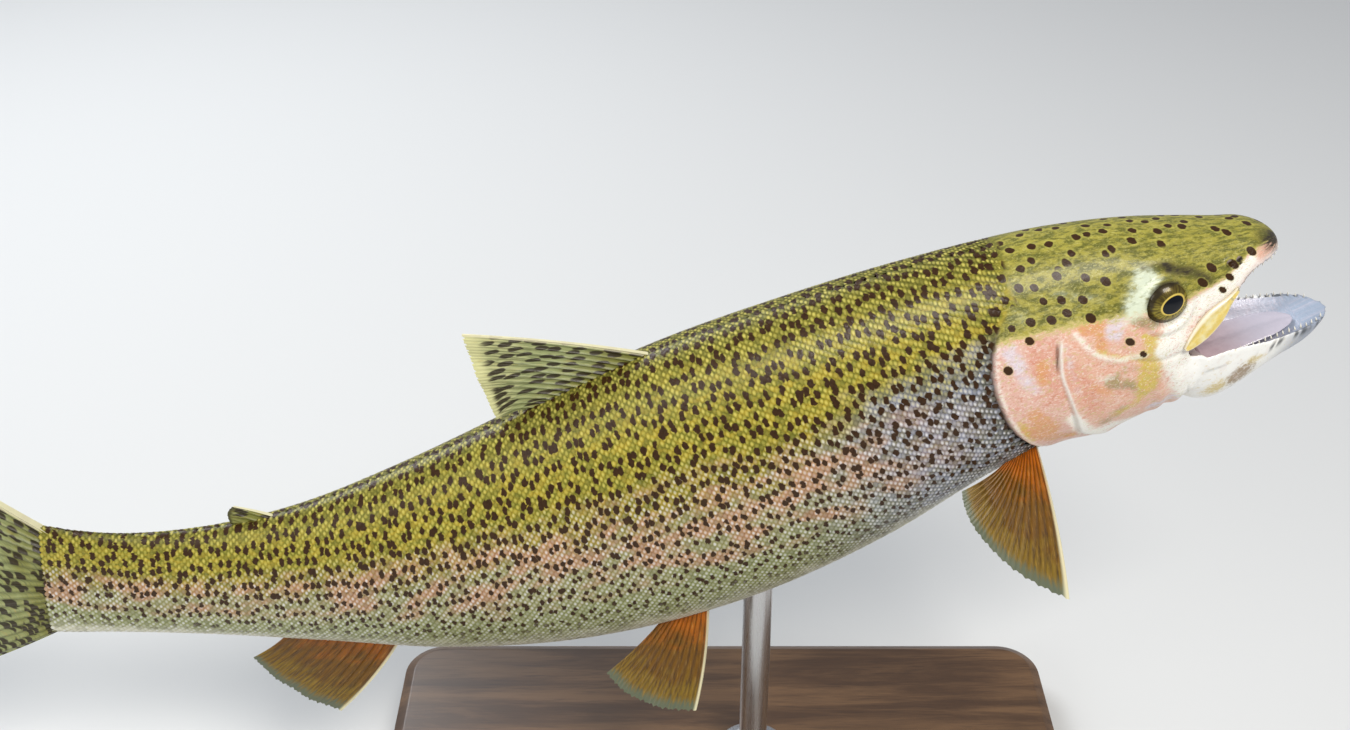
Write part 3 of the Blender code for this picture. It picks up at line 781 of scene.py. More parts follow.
def over_middle(x, arc, side):
    """Carry arcs that pass the middle line of the back or the belly over to the other side."""
    whole = arc_at(x, -90)
    past = (arc < 0) | (arc > whole)
    arc = np.where(arc < 0, -arc, np.where(arc > whole, 2 * whole - arc, arc))
    return arc, np.where(past, -side, side)


def make_scales(name, side, start, end, material, seed):
    """One side's scales between two places along the body, as one joined mesh."""
    x, arc, row = scale_roots(start, end)
    if side < 0:
        x, arc, row = (np.concatenate(pair) for pair in zip((x, arc, row), belly_roots(start, end)))
    x, arc, row = x[:, None], arc[:, None], row[:, None]
    rng = np.random.default_rng(seed)
    size = rng.uniform(0.95, 1.06, x.shape)
    first = x - scale_start(turn_at(x, arc))
    size = size * (0.72 + 0.28 * smooth(first / 9))
    tone = rng.random(x.shape)
    along, across, height = SCALE_POINTS.T
    px = x + along * SCALE_PITCH * size
    parc = arc + across * SCALE_WIDTH * size
    sample_x, sample_arc = 0.75 * px + 0.25 * x, 0.75 * parc + 0.25 * arc
    parc, flank_side = over_middle(px, parc, side)
    rise = height + 0.14 * (smooth(first / 7) - 1) + rng.normal(0, 0.02, x.shape)
    pore = (row == 0) & np.isin(np.arange(len(along)), SCALE_MIDDLE)
    rise = rise + np.where(pore, 0.30, 0.0) + np.where(row == BELLY_ROW, 0.16, 0.0)
    points = on_skin(flank_side, px, turn_at(px, parc), rise).reshape(-1, 3)
    shapes = [face[::-side] for face in SCALE_TOP + SCALE_UNDER]
    faces = [tuple(v + k * len(along) for v in face) for k in range(len(x)) for face in shapes]
    obj = new_piece(name, points, faces)
    sample_arc, sample_side = over_middle(sample_x, sample_arc, side)
    vector_field(obj, "lay", *lay_of(sample_x, turn_at(sample_x, sample_arc), sample_side))
    vector_field(obj, "scale", along, across, tone)
    bake = np.stack([0.02 + 0.96 * x / PATTERN_END + along * PATCH * 0.75,
                     0.5 + side * (arc + 4) / BAKE_ROUND + across * PATCH], -1).reshape(-1, 2)
    layer = obj.data.uv_layers.new(name="OFBake")
    corner = np.empty(len(obj.data.loops), np.int32)
    obj.data.loops.foreach_get("vertex_index", corner)
    layer.data.foreach_set("uv", bake[corner].astype(np.float32).ravel())
    finish_piece(obj, material, 50)


# ---- materials ----
class Tone:
    """A value, vector or colour inside a material's nodes, with plain arithmetic on values."""

    def __init__(self, paint, socket):
        self.paint, self.socket = paint, socket

    def __add__(self, other):
        return self.paint.math("ADD", self, other)

    def __sub__(self, other):
        return self.paint.math("SUBTRACT", self, other)

    def __rsub__(self, other):
        return self.paint.math("SUBTRACT", other, self)

    def __mul__(self, other):
        return self.paint.math("MULTIPLY", self, other)

    def larger(self, other):
        return self.paint.math("MAXIMUM", self, other)


class Paint:
    """Builds one node material around a Principled shader."""

    def __init__(self, name):
        self.material = bpy.data.materials.new(name)
        self.material.use_nodes = True
        self.tree = self.material.node_tree
        self.shader = self.tree.nodes["Principled BSDF"]

    def link(self, source, target):
        if isinstance(source, Tone):
            self.tree.links.new(source.socket, target)
        else:
            target.default_value = source

    def wired(self, kind, inputs, output=0, **values):
        """One output of a new shader node with these values and, by number or name, these inputs."""
        made = self.tree.nodes.new("ShaderNode" + kind)
        for key, value in values.items():
            setattr(made, key, value)
        for key, source in inputs.items():
            self.link(source, made.inputs[key])
        return Tone(self, made.outputs[output])

    def parts(self, vector):
        """A vector and its three numbers."""
        split = self.wired("SeparateXYZ", {0: vector}).socket.node
        return [vector] + [Tone(self, socket) for socket in split.outputs]

    def field(self, name):
        """One of the piece's own vector fields and its three numbers."""
        return self.parts(self.wired("Attribute", {}, "Vector", attribute_name=name))

    def here(self):
        return self.wired("TexCoord", {}, "Object")

    def math(self, operation, *values):
        return self.wired("Math", dict(enumerate(values)), operation=operation)

    def step(self, value, low, high):
        """0 below low, 1 above high, smooth between."""
        inputs = dict(enumerate((value, low, high, 0.0, 1.0)))
        return self.wired("MapRange", inputs, interpolation_type="SMOOTHSTEP", clamp=True)

    def mix(self, share, a, b):
        a, b = ((*tint, 1) if isinstance(tint, tuple) else tint for tint in (a, b))
        return self.wired("Mix", {0: share, 6: a, 7: b}, 2, data_type="RGBA", clamp_factor=True)

    def layers(self, colour, *coats):
        """A colour under coats, each given as its share and its colour."""
        for share, tint in coats:
            colour = self.mix(share, colour, tint)
        return colour

    def scaled(self, vector, by):
        return self.wired("VectorMath", {0: vector, 1: by}, operation="MULTIPLY")

    def noise(self, vector, scale, detail=3.0, roughness=0.5, colour=False):
        inputs = {"Vector": vector, "Scale": scale, "Detail": detail, "Roughness": roughness}
        return self.wired("TexNoise", inputs, "Color" if colour else "Fac")

    def shaken(self, vector, scale, amount):
        """The vector with a noise added, to roughen what is drawn on it."""
        shift = self.noise(vector, scale, 2.0, colour=True)
        return self.wired("VectorMath", {0: shift, 1: (amount,) * 3, 2: vector}, operation="MULTIPLY_ADD")

    def cells(self, vector, randomness):
        """Distance from the nearest of many scattered points."""
        inputs = {"Vector": vector, "Scale": 1.0, "Randomness": randomness}
        return self.wired("TexVoronoi", inputs, "Distance", feature="F1", voronoi_dimensions="2D")

    def bump(self, height, distance, strength):
        inputs = {"Strength": strength, "Distance": distance, "Height": height}
        self.link(self.wired("Bump", inputs), self.shader.inputs["Normal"])

    def finish(self, colour, roughness=0.4, metallic=0.0, **constant):
        if isinstance(colour, tuple):
            colour = (*colour, 1)
        inputs = dict(constant, Base_Color=colour, Roughness=roughness, Metallic=metallic)
        for key, value in inputs.items():
            self.link(value, self.shader.inputs[key.replace("_", " ")])
        return self.material


BACK_OLIVE, FLANK_GREEN, FLANK_GOLD = (0.130, 0.125, 0.020), (0.180, 0.175, 0.018), (0.40, 0.30, 0.030)
# painted highlight colours for the middles of the scales
HIGHLIGHT_GOLD, HIGHLIGHT_SILVER = (0.66, 0.57, 0.13), (0.78, 0.78, 0.78)
ROSE, LAVENDER, ASH = (0.52, 0.26, 0.15), (0.29, 0.31, 0.39), (0.175, 0.175, 0.165)
SILVER_GREEN, BELLY_CREAM = (0.30, 0.32, 0.14), (0.68, 0.66, 0.50)
SPOT_BLACK, SPOT_BROWN = (0.018, 0.008, 0.002), (0.060, 0.024, 0.006)
HEAD_OLIVE, HEAD_GOLD = (0.120, 0.120, 0.020), (0.34, 0.30, 0.050)
PINK, CORAL, PEACH, ORANGE = (0.74, 0.50, 0.43), (0.66, 0.31, 0.22), (0.74, 0.43, 0.32), (0.66, 0.30, 0.10)
OCHRE, LILAC, BONE, MOSS = (0.62, 0.47, 0.07), (0.70, 0.66, 0.74), (0.92, 0.91, 0.84), (0.24, 0.22, 0.08)
JAW_WHITE, TIP_BLUE, PALATE_PINK = (0.96, 0.95, 0.90), (0.34, 0.38, 0.46), (0.44, 0.34, 0.31)
OLD_GOLD = (0.66, 0.50, 0.14)


def flank(paint):
    """Colours and spots of the body, which the skin and the scales over it share."""
    mix, step, noise = paint.mix, paint.step, paint.noise
    lay, along, _, turn = paint.field("lay")
    fine = noise(lay, 60.0, 4.0, 0.6)
    middling = noise(paint.shaken(lay, 12.0, 0.06), 22.0, 3.0, 0.6)
    uneven = noise(lay, 9.0, 3.0) * 0.30 + (turn - 0.15)
    # silver with a lavender cast behind the gill cover, green silver further back
    rear = step(along, 1.45, 2.15)
    lower = mix(rear, mix(step(middling, 0.40, 0.62), ASH, LAVENDER), SILVER_GREEN)
    low_share = step(rear * -0.26 + 0.34 - uneven, -0.10, 0.12)
    # rose band along the lateral line, in patches
    band = step(uneven, 0.30, 0.14) * step(uneven, -0.30, -0.12)
    patch = step(noise(paint.scaled(lay, (1.0, 1.9, 0.0)), 6.0, 3.0), 0.40, 0.60)
    colour = paint.layers(
        mix(step(uneven, 0.95, 0.55), BACK_OLIVE, FLANK_GREEN),
        (step(uneven, 0.95, 0.45) * step(middling, 0.38, 0.66), FLANK_GOLD),
        (low_share, lower),
        (band * (patch * 0.72 + 0.12) * step(along, 1.1, 1.9), ROSE),
        (step(uneven, -0.42, -0.70), BELLY_CREAM),
        (step(fine, 0.42, 0.66) * (low_share * -0.20 + 0.35), (0.46, 0.40, 0.06)))
    # dark spots, taller than long, smaller and weaker down the side
    cells = paint.cells(paint.scaled(paint.shaken(lay, 30.0, 0.020), (28.0, 17.0, 0.0)), 0.72)
    reach = noise(lay, 26.0, 1.0) * 0.16 + (step(uneven, 0.30, -0.25) * -0.07 + 0.235)
    spot = step(cells - reach, 0.045, -0.045) * step(uneven, -0.66, -0.30)
    return lay, turn, uneven, fine, colour, spot


def finish_skin(paint, colour, fine, spot, uneven):
    shine = (1.0 - spot) * paint.step(uneven, 0.70, -0.1)
    return paint.finish(colour, fine * 0.24 + 0.26, shine * 0.10, Coat_Weight=0.10, Coat_Roughness=0.10,
                        Specular_IOR_Level=0.20)


def scale_material():
    paint = Paint("trout_scales")
    mix, step = paint.mix, paint.step
    _, _, uneven, fine, colour, spot = flank(paint)
    _, rear, across, tone = paint.field("scale")
    # each scale has a painted highlight in its middle and painted shade round its edge; the highlight is
    # stronger on some scales than others, and some scales are shaded darker all over
    behind = (rear - 0.42) * 1.3
    off = paint.math("SQRT", behind * behind + across * across)
    pale = mix(step(uneven, 0.14, 0.34), HIGHLIGHT_SILVER, HIGHLIGHT_GOLD)
    colour = mix(step(off, 0.34, 0.10) * (tone * 0.60 + 0.12), colour, pale)
    shade = mix(0.62, colour, (0.030, 0.032, 0.008))
    # the painted shade round the scales' edges is weaker towards the belly
    edge = step(uneven, -0.80, -0.45) * 0.45 + 0.30
    colour = paint.layers(
        colour,
        (step(off, 0.34, 0.58) * edge, shade),
        (step(tone, 0.30, 0.0) * 0.45, shade),
        (spot, mix(fine, SPOT_BLACK, SPOT_BROWN)))
    paint.bump(paint.math("SINE", rear * 38.0), 0.00004, 0.5)
    return finish_skin(paint, colour, fine, spot, uneven)


def skin_material():
    paint = Paint("trout_skin")
    mix, step, noise, layers = paint.mix, paint.step, paint.noise, paint.layers
    lay, turn, uneven, fine, body, body_spot = flank(paint)
    _, cover, face, mouth = paint.field("masks")
    _, white, groove, jaw = paint.field("lines")
    _, ochre, bone, painted_shade_and_dark_tip = paint.field("patches")
    _, painted_glint, lip, spotted = paint.field("tints")
    _, coral, lilac, olive = paint.field("blush")
    _, orange, freckle, crown = paint.field("spots")
    _, dashes, stained, jaw_at = paint.field("jaw_marks")
    gilded = paint.field("jaw_gold")[1]
    mottle = noise(lay, 24.0, 4.0, 0.6)
    veins = noise(paint.shaken(lay, 20.0, 0.05), 44.0, 4.0, 0.65)
    crumbs = noise(paint.shaken(lay, 40.0, 0.03), 95.0, 3.0, 0.6)

    def broken(mask, low=0.20, high=1.05, grain=veins):
        """A patch whose edge and inside are broken up by the grain."""
        return step(mask * ((grain - 0.5) * 2.6 + 1.0), low, high)

    # pink gill cover and cheek with coral, orange, ochre, moss, lilac and bone
    flecks = step(crumbs, 0.45, 0.35) * step(mottle, 0.40, 0.54)
    warm = layers(
        mix(cover, PEACH, PINK),
        (broken(coral, 0.15, 0.95, mottle) * 0.80, CORAL),
        (step(mottle, 0.52, 0.62) * 0.40, (0.82, 0.66, 0.58)),
        (step(veins, 0.46, 0.36) * 0.50, (0.60, 0.22, 0.13)),
        (broken(orange, 0.20, 1.10) * 0.80, ORANGE),
        (broken(olive, 0.20, 1.10) * 0.75, MOSS),
        (broken(ochre, 0.20, 1.10) * 0.90, OCHRE),
        (broken(lilac, 0.20, 1.05, mottle) * 0.80, LILAC),
        (broken(bone, 0.18, 1.05), BONE),
        (step(crumbs, 0.53, 0.66) * 0.50, (0.88, 0.80, 0.70)),
        (flecks * 0.40, (0.40, 0.24, 0.12)))
    # olive gold above, over an uneven border
    top = layers(
        mix(step(mottle, 0.38, 0.62), HEAD_OLIVE, HEAD_GOLD),
        (step(crumbs, 0.53, 0.64) * 0.45, (0.52, 0.48, 0.16)),
        (step(veins, 0.46, 0.38) * 0.35, (0.07, 0.07, 0.012)))
    above = (veins - 0.5) * 1.6 + spotted
    # round spots with faint pale halos
    cells = paint.cells(paint.scaled(paint.shaken(lay, 22.0, 0.012), (14.5, 13.0, 0.0)), 0.74)
    gap = cells - (noise(lay, 17.0, 1.0) * 0.20 + 0.11)
    head_spot = (step(gap, 0.03, -0.03) * crown).larger(step(freckle, 0.25, 0.75))
    halo = (step(gap, 0.16, 0.04) * crown).larger(step(freckle, 0.0, 0.25))
    head = layers(
        warm,
        (step(above, 0.0, 0.50), (0.54, 0.46, 0.16)),
        (step(above, 0.30, 0.90), top),
        (step(turn, -0.66, -0.82), BELLY_CREAM),
        # painted highlights behind the eye, on the upper head and on the nape
        (broken(painted_glint, 0.10, 1.05) * 0.9, (0.72, 0.78, 0.62)),
        (lip * 0.6, (0.74, 0.62, 0.58)),
        # painted shadow in front of the eye, painted shade over the brow, round the top of the socket and in
        # the nostril pits, and a darker snout tip
        (broken(painted_shade_and_dark_tip, 0.15, 0.95, mottle), (0.040, 0.032, 0.020)),
        (halo * 0.30, (0.50, 0.46, 0.10)))
    spot = (head_spot * face + body_spot * (1.0 - face)) * (1.0 - jaw.larger(mouth))
    # lower jaw and the inside of the mouth
    jaw_colour = layers(
        mix(step(jaw_at, 0.20, 0.03), JAW_WHITE, TIP_BLUE),
        (step(noise(lay, 34.0, 4.0, 0.6), 0.58, 0.68) * 0.35, OLD_GOLD),
        (broken(gilded) * 0.85, OLD_GOLD),
        (broken(stained, 0.25, 1.0) * 0.85, (0.28, 0.17, 0.07)),
        (step(noise(lay, 18.0, 3.0), 0.54, 0.66) * 0.18, (0.72, 0.56, 0.50)),
        (step(veins, 0.38, 0.30) * 0.35, (0.60, 0.56, 0.56)),
        (dashes * 0.85, (0.04, 0.045, 0.05)))
    inside = layers(
        mix(step(jaw_at, 0.36, 0.24), PALATE_PINK, (0.50, 0.50, 0.58)),
        (step(jaw_at, 0.18, 0.02), (0.34, 0.40, 0.50)),
        (step(veins, 0.48, 0.62) * 0.35, (0.62, 0.54, 0.60)))
    colour = layers(
        body,
        (face, head),
        (spot, mix(fine, SPOT_BLACK, SPOT_BROWN)),
        (white * 0.92, (0.88, 0.85, 0.78)),
        # painted shade in the groove behind the gill cover and in the slit at the top of the preopercle
        (groove * 0.85, (0.070, 0.035, 0.018)),
        (jaw, jaw_colour),
        (mouth, inside))
    pores, wrinkles = noise(paint.here(), 900.0, 3.0, 0.6), noise(paint.here(), 160.0, 4.0, 0.55)
    paint.bump(pores * 0.35 + wrinkles, 0.0006, 0.7)
    return finish_skin(paint, colour, fine, spot, uneven)


# ---- skin and coat on the fish ----
skin = make_skin()
skin_points = fish_points(coords(skin))
paint_fields(skin, skin_points, inside_mouth(skin, skin_points))
finish_piece(skin, skin_material())
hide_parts("head", "trunk_front", "trunk_rear", "tail_stalk", "lower_jaw", "gill_cover_right",
            "gill_cover_left")

scale_paint = scale_material()
for side_name, side in SIDES:
    for part_name, start, end, seed in (("front", 90, 245, 11), ("rear", 245, 498.5, 23)):
        make_scales("scales_" + side_name + "_" + part_name, side, start, end, scale_paint, seed + side)


# ---- fins ----
RAY_STEPS, FIN_ROWS = 8, 34             # grid lines across one ray, and out from the root to the margin


def ray_line(count, u, v):
    """1 on a fin ray, 0 between two rays; past the middle of its length each ray is split in two."""
    place_in = np.mod(u * count, 1.0) - 0.5
    fork = 0.24 * smooth((v - 0.42) / 0.5)
    near = np.minimum(np.abs(place_in - fork), np.abs(place_in + fork))
    return ridge(near, 0.20 - 0.07 * v)


def make_fin(name, roots, rays, bulge, bend, thick, count, material, wave=0.6):
    """A fan of rays with a thin membrane between them; it starts a little inside the skin."""
    u = np.linspace(0, 1, count * RAY_STEPS + 1)[:, None, None]
    v = np.linspace(-0.06, 1, FIN_ROWS)[None, :, None]
    roots, rays, bend = np.array(roots, float), np.array(rays, float), np.array(bend, float)
    across = roots[1] - roots[0]
    normal = unit(np.cross(across, rays[0] + rays[1]))
    heading = unit(unit(rays)[0] * (1 - u) + unit(rays)[1] * u)
    lengths = np.linalg.norm(rays, axis=1)
    length = lengths[0] * (1 - u) + lengths[1] * u + bulge * np.sin(math.pi * u)
    out = np.clip(v, 0, 1)
    line = ray_line(count, u, out)
    length = length * (1 - 0.012 * (1 - line) - 0.012 * np.sin(u * 41.0) ** 2)
    grid = roots[0] * (1 - u) + roots[1] * u + heading * length * v + bend * out ** 2
    ripple = wave * out ** 2 * np.sin(u * 4.6 * math.pi + 0.6) * np.sin(math.pi * np.clip(u * 1.1, 0, 1))
    grid = grid + normal * ripple
    full = 0.5 * (thick[0] * (1 - out) + thick[1] * out) * (0.55 + 0.45 * np.sin(math.pi * (0.08 + 0.84 * u)))
    membrane = 0.30 + 0.18 * (1 - out)
    half = full * (membrane + (0.98 - membrane) * line) * (1 - 0.35 * smooth((out - 0.9) / 0.1))
    half = np.maximum(half, full * ridge(u, 0.022))
    obj = sheet(name, grid + normal * half, grid - normal * half)
    u, out = u[..., 0], out[..., 0]
    width = np.linalg.norm(across) * (1 - out) + out * np.linalg.norm(grid[-1, -1] - grid[0, -1])
    vector_field(obj, "fan", u * count, out, u, sides=2)
    vector_field(obj, "reach", length[..., 0] * out / 10, u * width / 10, 0.0, sides=2)
    finish_piece(obj, material, 60)
    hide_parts(name.replace("_rays", ""))


def fin_material(name, root, middle, tip, ray, margin, spots=0.0):
    paint = Paint(name)
    step, layers = paint.step, paint.layers
    _, count, v, u = paint.field("fan")
    reach = paint.field("reach")[0]
    streak = paint.noise(paint.scaled(reach, (0.5, 4.0, 0.0)), 3.2, 4.0, 0.6)
    uneven = (paint.noise(reach, 1.4, 3.0) - 0.5) * 0.7 + v
    off_ray = paint.math("ABSOLUTE", paint.math("FRACT", count) - 0.5)
    near = paint.math("ABSOLUTE", off_ray - step(v, 0.42, 0.92) * 0.24)
    line = step(near, 0.16, 0.05) * step(v, 0.98, 0.80)
    colour = layers(
        root,
        (step(uneven, 0.05, 0.50), middle),
        (step(uneven, 0.55, 0.92), tip),
        (line * 0.45, ray),
        (step(streak, 0.50, 0.70) * 0.75, ray),
        (step(streak, 0.46, 0.28) * 0.35, (0.46, 0.27, 0.06)))
    if spots:
        cells = paint.cells(paint.scaled(paint.shaken(reach, 3.0, 0.15), (1.35, 2.3, 0.0)), 0.8)
        dots = step(cells - spots, 0.06, -0.04) * step(v, 0.97, 0.88)
        colour = paint.mix(dots * 0.93, colour, SPOT_BLACK)
    rough_edge = (streak - 0.5) * 0.16 + v
    colour = layers(colour, (step(rough_edge, 0.87, 0.97) * 0.85, margin),
                    (step(u, 0.035, 0.010) * 0.8, (0.80, 0.74, 0.48)))
    paint.bump(streak + line * 0.5, 0.0003, 0.5)
    return paint.finish(colour, 0.38, 0.0, Coat_Weight=0.08, Coat_Roughness=0.15, Specular_IOR_Level=0.3)


AMBER_FIN = fin_material("amber_fin", (0.40, 0.105, 0.001), (0.150, 0.066, 0.004), (0.20, 0.120, 0.010),
                         (0.050, 0.024, 0.008), (0.10, 0.13, 0.09))
PALE_FIN = fin_material("spotted_fin", (0.20, 0.20, 0.045), (0.30, 0.33, 0.14), (0.46, 0.46, 0.22),
                        (0.10, 0.11, 0.04), (0.62, 0.60, 0.30), 0.33)
OLIVE_FIN = fin_material("adipose_skin", (0.17, 0.17, 0.03), (0.20, 0.20, 0.04), (0.22, 0.22, 0.06),
                         (0.13, 0.13, 0.03), (0.04, 0.035, 0.012), 0.24)
make_fin("dorsal_fin_rays", [(230, 0, 59), (281, 0, 52)], [(62, 0, 41), (12, 0, 8)], 1, (5, 0, -7),
         (3.0, 0.9), 13, PALE_FIN, 1.0)
make_fin("adipose_fin_rays", [(399, 0, 29), (412, 0, 26.5)], [(15, 0, 9), (5, 0, 3)], 2, (3, 0, -1),
         (3.0, 1.2), 3, OLIVE_FIN, 0.2)
make_fin("anal_fin_rays", [(366, 0, -37), (408, 0, -27)], [(30, 0, -42), (14, 0, -17)], 3, (5, 0, 2),
         (2.6, 0.9), 12, AMBER_FIN)
make_fin("caudal_fin_rays", [(493, 0, 23), (493, 0, -23)], [(70, 0, 45), (66, 0, -50)], -15, (3, 0, -5),
         (5.0, 1.0), 20, PALE_FIN, 1.4)
for side_name, side in SIDES:
    make_fin("pectoral_fin_" + side_name + "_rays", [(110, side * 22, -30), (121, side * 21, -32)],
             [(7, side * 33, -55), (16.5, side * 8, -5)], -3.5, (5, 0, 5), (3.2, 0.9), 14, AMBER_FIN)
    make_fin("pelvic_fin_" + side_name + "_rays", [(249, side * 13, -52), (264, side * 9, -53)],
             [(15, side * 18, -42), (28, side * 8, -20)], 3, (4, 0, 3), (2.8, 0.9), 11, AMBER_FIN)


# ---- eyes ----
PUPIL_AT, PUPIL_SIZE, PUPIL_TILT = (-1.9, 0.6), (4.1, 3.2), math.radians(10)


def eye_material():
    paint = Paint("trout_eye")
    step = paint.step
    iris, _, up, ring = paint.field("iris")
    spokes = paint.noise(paint.field("spokes")[0], 5.0, 4.0, 0.6)
    # painted shade, mottled, over the upper part of the iris under the brow
    iris_shade = step(paint.noise(iris, 0.45, 3.0) * 0.5 + up * 0.07, 0.25, 0.62)
    rim = step(ring, 1.24, 1.12) * step(ring, 0.98, 1.04)
    pupil = step(ring, 1.05, 0.99)
    colour = paint.layers(
        paint.mix(step(spokes, 0.36, 0.66), (0.085, 0.060, 0.008), (0.34, 0.28, 0.035)),
        (iris_shade * 0.75, (0.055, 0.035, 0.010)),
        (rim * 0.9, (0.84, 0.62, 0.13)),
        (step(ring, 1.72, 1.98) * 0.85, (0.030, 0.022, 0.012)),
        (pupil, (0.002, 0.003, 0.006)))
    return paint.finish(colour, 0.30, (1.0 - pupil) * 0.35, Coat_Weight=0.35, Coat_Roughness=0.02,
                        Specular_IOR_Level=0.15)


def make_eye(side_name, side, material):
    """A globe with a fine step where the pupil is cut into the iris; the pupil is set forward."""
    x, y, z = EYE_AT
    centre = (x, side * (y - 0.7), z)
    size = (EYE_SIZE[0] * 0.985, side * EYE_SIZE[1] * 0.97, EYE_SIZE[2] * 0.985)
    shell = ellipsoid(centre, size, 44, 72)
    away = np.hypot((shell[..., 0] - x - PUPIL_AT[0]) / PUPIL_SIZE[0],
                    (shell[..., 2] - z - PUPIL_AT[1]) / PUPIL_SIZE[1])
    front = side * (shell[..., 1] - centre[1]) > 0
    shell[..., 1] -= side * 0.10 * smooth((away - 1.0) / 0.12) * front
    obj = loft("eye_globe_" + side_name, shell)
    p = fish_points(coords(obj))
    dx, dz = p[:, 0] - x, p[:, 2] - z
    px, pz = dx - PUPIL_AT[0], dz - PUPIL_AT[1]
    long = -px * math.cos(PUPIL_TILT) + pz * math.sin(PUPIL_TILT)
    wide = px * math.sin(PUPIL_TILT) + pz * math.cos(PUPIL_TILT)
    ring = np.hypot(long / PUPIL_SIZE[0], wide / PUPIL_SIZE[1])
    angle = np.arctan2(wide, long)
    vector_field(obj, "iris", dx, dz, ring)
    vector_field(obj, "spokes", np.cos(angle) * 2, np.sin(angle) * 2, ring * 0.25)
    finish_piece(obj, material)
    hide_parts("eye_" + side_name)


eye_paint = eye_material()
for side_name, side in SIDES:
    make_eye(side_name, side, eye_paint)


# ---- upper jaw plates, tongue and teeth ----
def maxilla_material():
    paint = Paint("maxilla_horn")
    step = paint.step
    _, along, _, edge = paint.field("plate")
    mottle = paint.noise(paint.here(), 260.0, 4.0, 0.6)
    colour = paint.layers(
        paint.mix(step(mottle, 0.35, 0.70), (0.74, 0.54, 0.10), (0.82, 0.72, 0.36)),
        (step(edge, 0.55, 0.90) * 0.8, (0.88, 0.82, 0.70)),
        (step(along, 0.28, 0.10) * step(mottle, 0.48, 0.62) * 0.8, (0.13, 0.10, 0.045)),
        (step(edge, 0.90, 1.0) * 0.5, (0.40, 0.26, 0.10)))
    paint.bump(mottle, 0.0003, 0.5)
    return paint.finish(colour, 0.26, 0.0, Coat_Weight=0.35, Coat_Roughness=0.1)


PLATE_START, PLATE_LENGTH = 22.0, 26.3


def make_maxilla(side_name, side, material):
    """A leaf-shaped plate along the lip, past the corner of the mouth, with a raised rim."""
    t = np.linspace(0, 1, 21)[:, None]
    along = (0.5 - 0.5 * np.cos(np.linspace(0.12, math.pi - 0.05, 61)))[None, :]
    x = PLATE_START + PLATE_LENGTH * along
    round_end = np.sqrt(np.clip(1 - np.clip(along - 0.86, 0, 1) ** 2 / 0.0197, 0.01, 1))
    turns = PLATE_AT(x) + (t - 0.5) * (PLATE_SPAN(x) + 1.0) * round_end
    rim = np.maximum(np.abs(t - 0.5) * 2, (np.abs(along - 0.5) * 2) ** 6)
    crown = 1.5 * np.sqrt(np.clip(1 - rim ** 4, 0, 1)) * (0.78 + 0.22 * smooth((rim - 0.5) / 0.3))
    keel = 0.25 * ridge(t - 0.62, 0.12) * smooth(along / 0.3)
    outer = on_skin(side, x, turns, 0.5 + np.maximum(crown - keel, 0.02))
    obj = sheet("maxilla_" + side_name + "_plate", outer, on_skin(side, x, turns, 0.45))
    vector_field(obj, "plate", along, t, rim, sides=2)
    finish_piece(obj, material, 60)
    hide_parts("maxilla_" + side_name)


def tongue_material():
    paint = Paint("tongue_flesh")
    grain = paint.noise(paint.here(), 300.0, 4.0, 0.6)
    towards_tip = paint.step(paint.parts(paint.here())[1], SNOUT[0] - 0.020, SNOUT[0] + 0.002)
    colour = paint.layers(
        paint.mix(grain, (0.40, 0.27, 0.30), (0.58, 0.46, 0.50)),
        (towards_tip * 0.65, (0.52, 0.54, 0.64)))
    paint.bump(grain, 0.0006, 0.5)
    return paint.finish(colour, 0.24, 0.0, Coat_Weight=0.5, Coat_Roughness=0.08)


def make_tongue():
    """A flat tongue with a rounded tip and a shallow groove, low in the jaw."""
    rings = []
    angle = np.linspace(0, 2 * math.pi, 48, endpoint=False)
    groove = 0.30 * ridge(np.cos(angle), 0.25) * (np.sin(angle) > 0)
    for t in 0.5 - 0.5 * np.cos(np.linspace(0.10, math.pi, 36)):
        at = 0.24 + 0.68 * t
        lip = float(lip_turn(at * MOUTH_END))
        half, height = girth(at * MOUTH_END, np.array([lip, -90.0]))
        depth = (height[0] - height[1]) * (0.22 + 0.3 * smooth(at / 0.4))
        wide = half[0] * 0.50 * math.sqrt(1 - (1 - min(t / 0.35 + 0.01, 1)) ** 2)
        thick = (1.2 + 1.5 * t) * min(1.0, 0.35 + t * 5)
        rise = height[0] - depth * 0.86 + thick * (1 + 0.85 * np.sin(angle) - groove)
        ring = np.stack([np.full(len(angle), along_jaw(at)), wide * np.cos(angle), rise], 1)
        rings.append(swing(ring, 1.0))
    obj = loft("tongue_flesh", rings)
    finish_piece(obj, tongue_material())
    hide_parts("tongue")


TOOTH_AROUND = 6                        # points in each of a tooth's three rings
TOOTH_TIP = 3 * TOOTH_AROUND            # the last point's number
LAST_RING = range(TOOTH_TIP - TOOTH_AROUND, TOOTH_TIP)
TOOTH_FACES = loft_faces(3, TOOTH_AROUND)[:-1]
TOOTH_FACES += [(LAST_RING[k - 1], LAST_RING[k], TOOTH_TIP) for k in range(TOOTH_AROUND)]


def tooth(root, tip, radius):
    """The points of a slightly hooked tooth: three rings and the tip."""
    root, tip, hook = np.array(root), np.array(tip), np.array((0.25, 0, 0))
    axis = unit(tip - root)
    aside = unit(np.cross(axis, (0.3, 1.0, 0.2)))
    other = np.cross(axis, aside)
    angle = np.linspace(0, 2 * math.pi, TOOTH_AROUND, endpoint=False)[:, None]
    spoke = aside * np.cos(angle) + other * np.sin(angle)
    rings = [root + (tip - root) * share + hook * share ** 2 + radius * wide * spoke
             for share, wide in ((0.0, 1.0), (0.45, 0.72), (0.8, 0.36))]
    return np.concatenate([*rings, [tip + hook]])


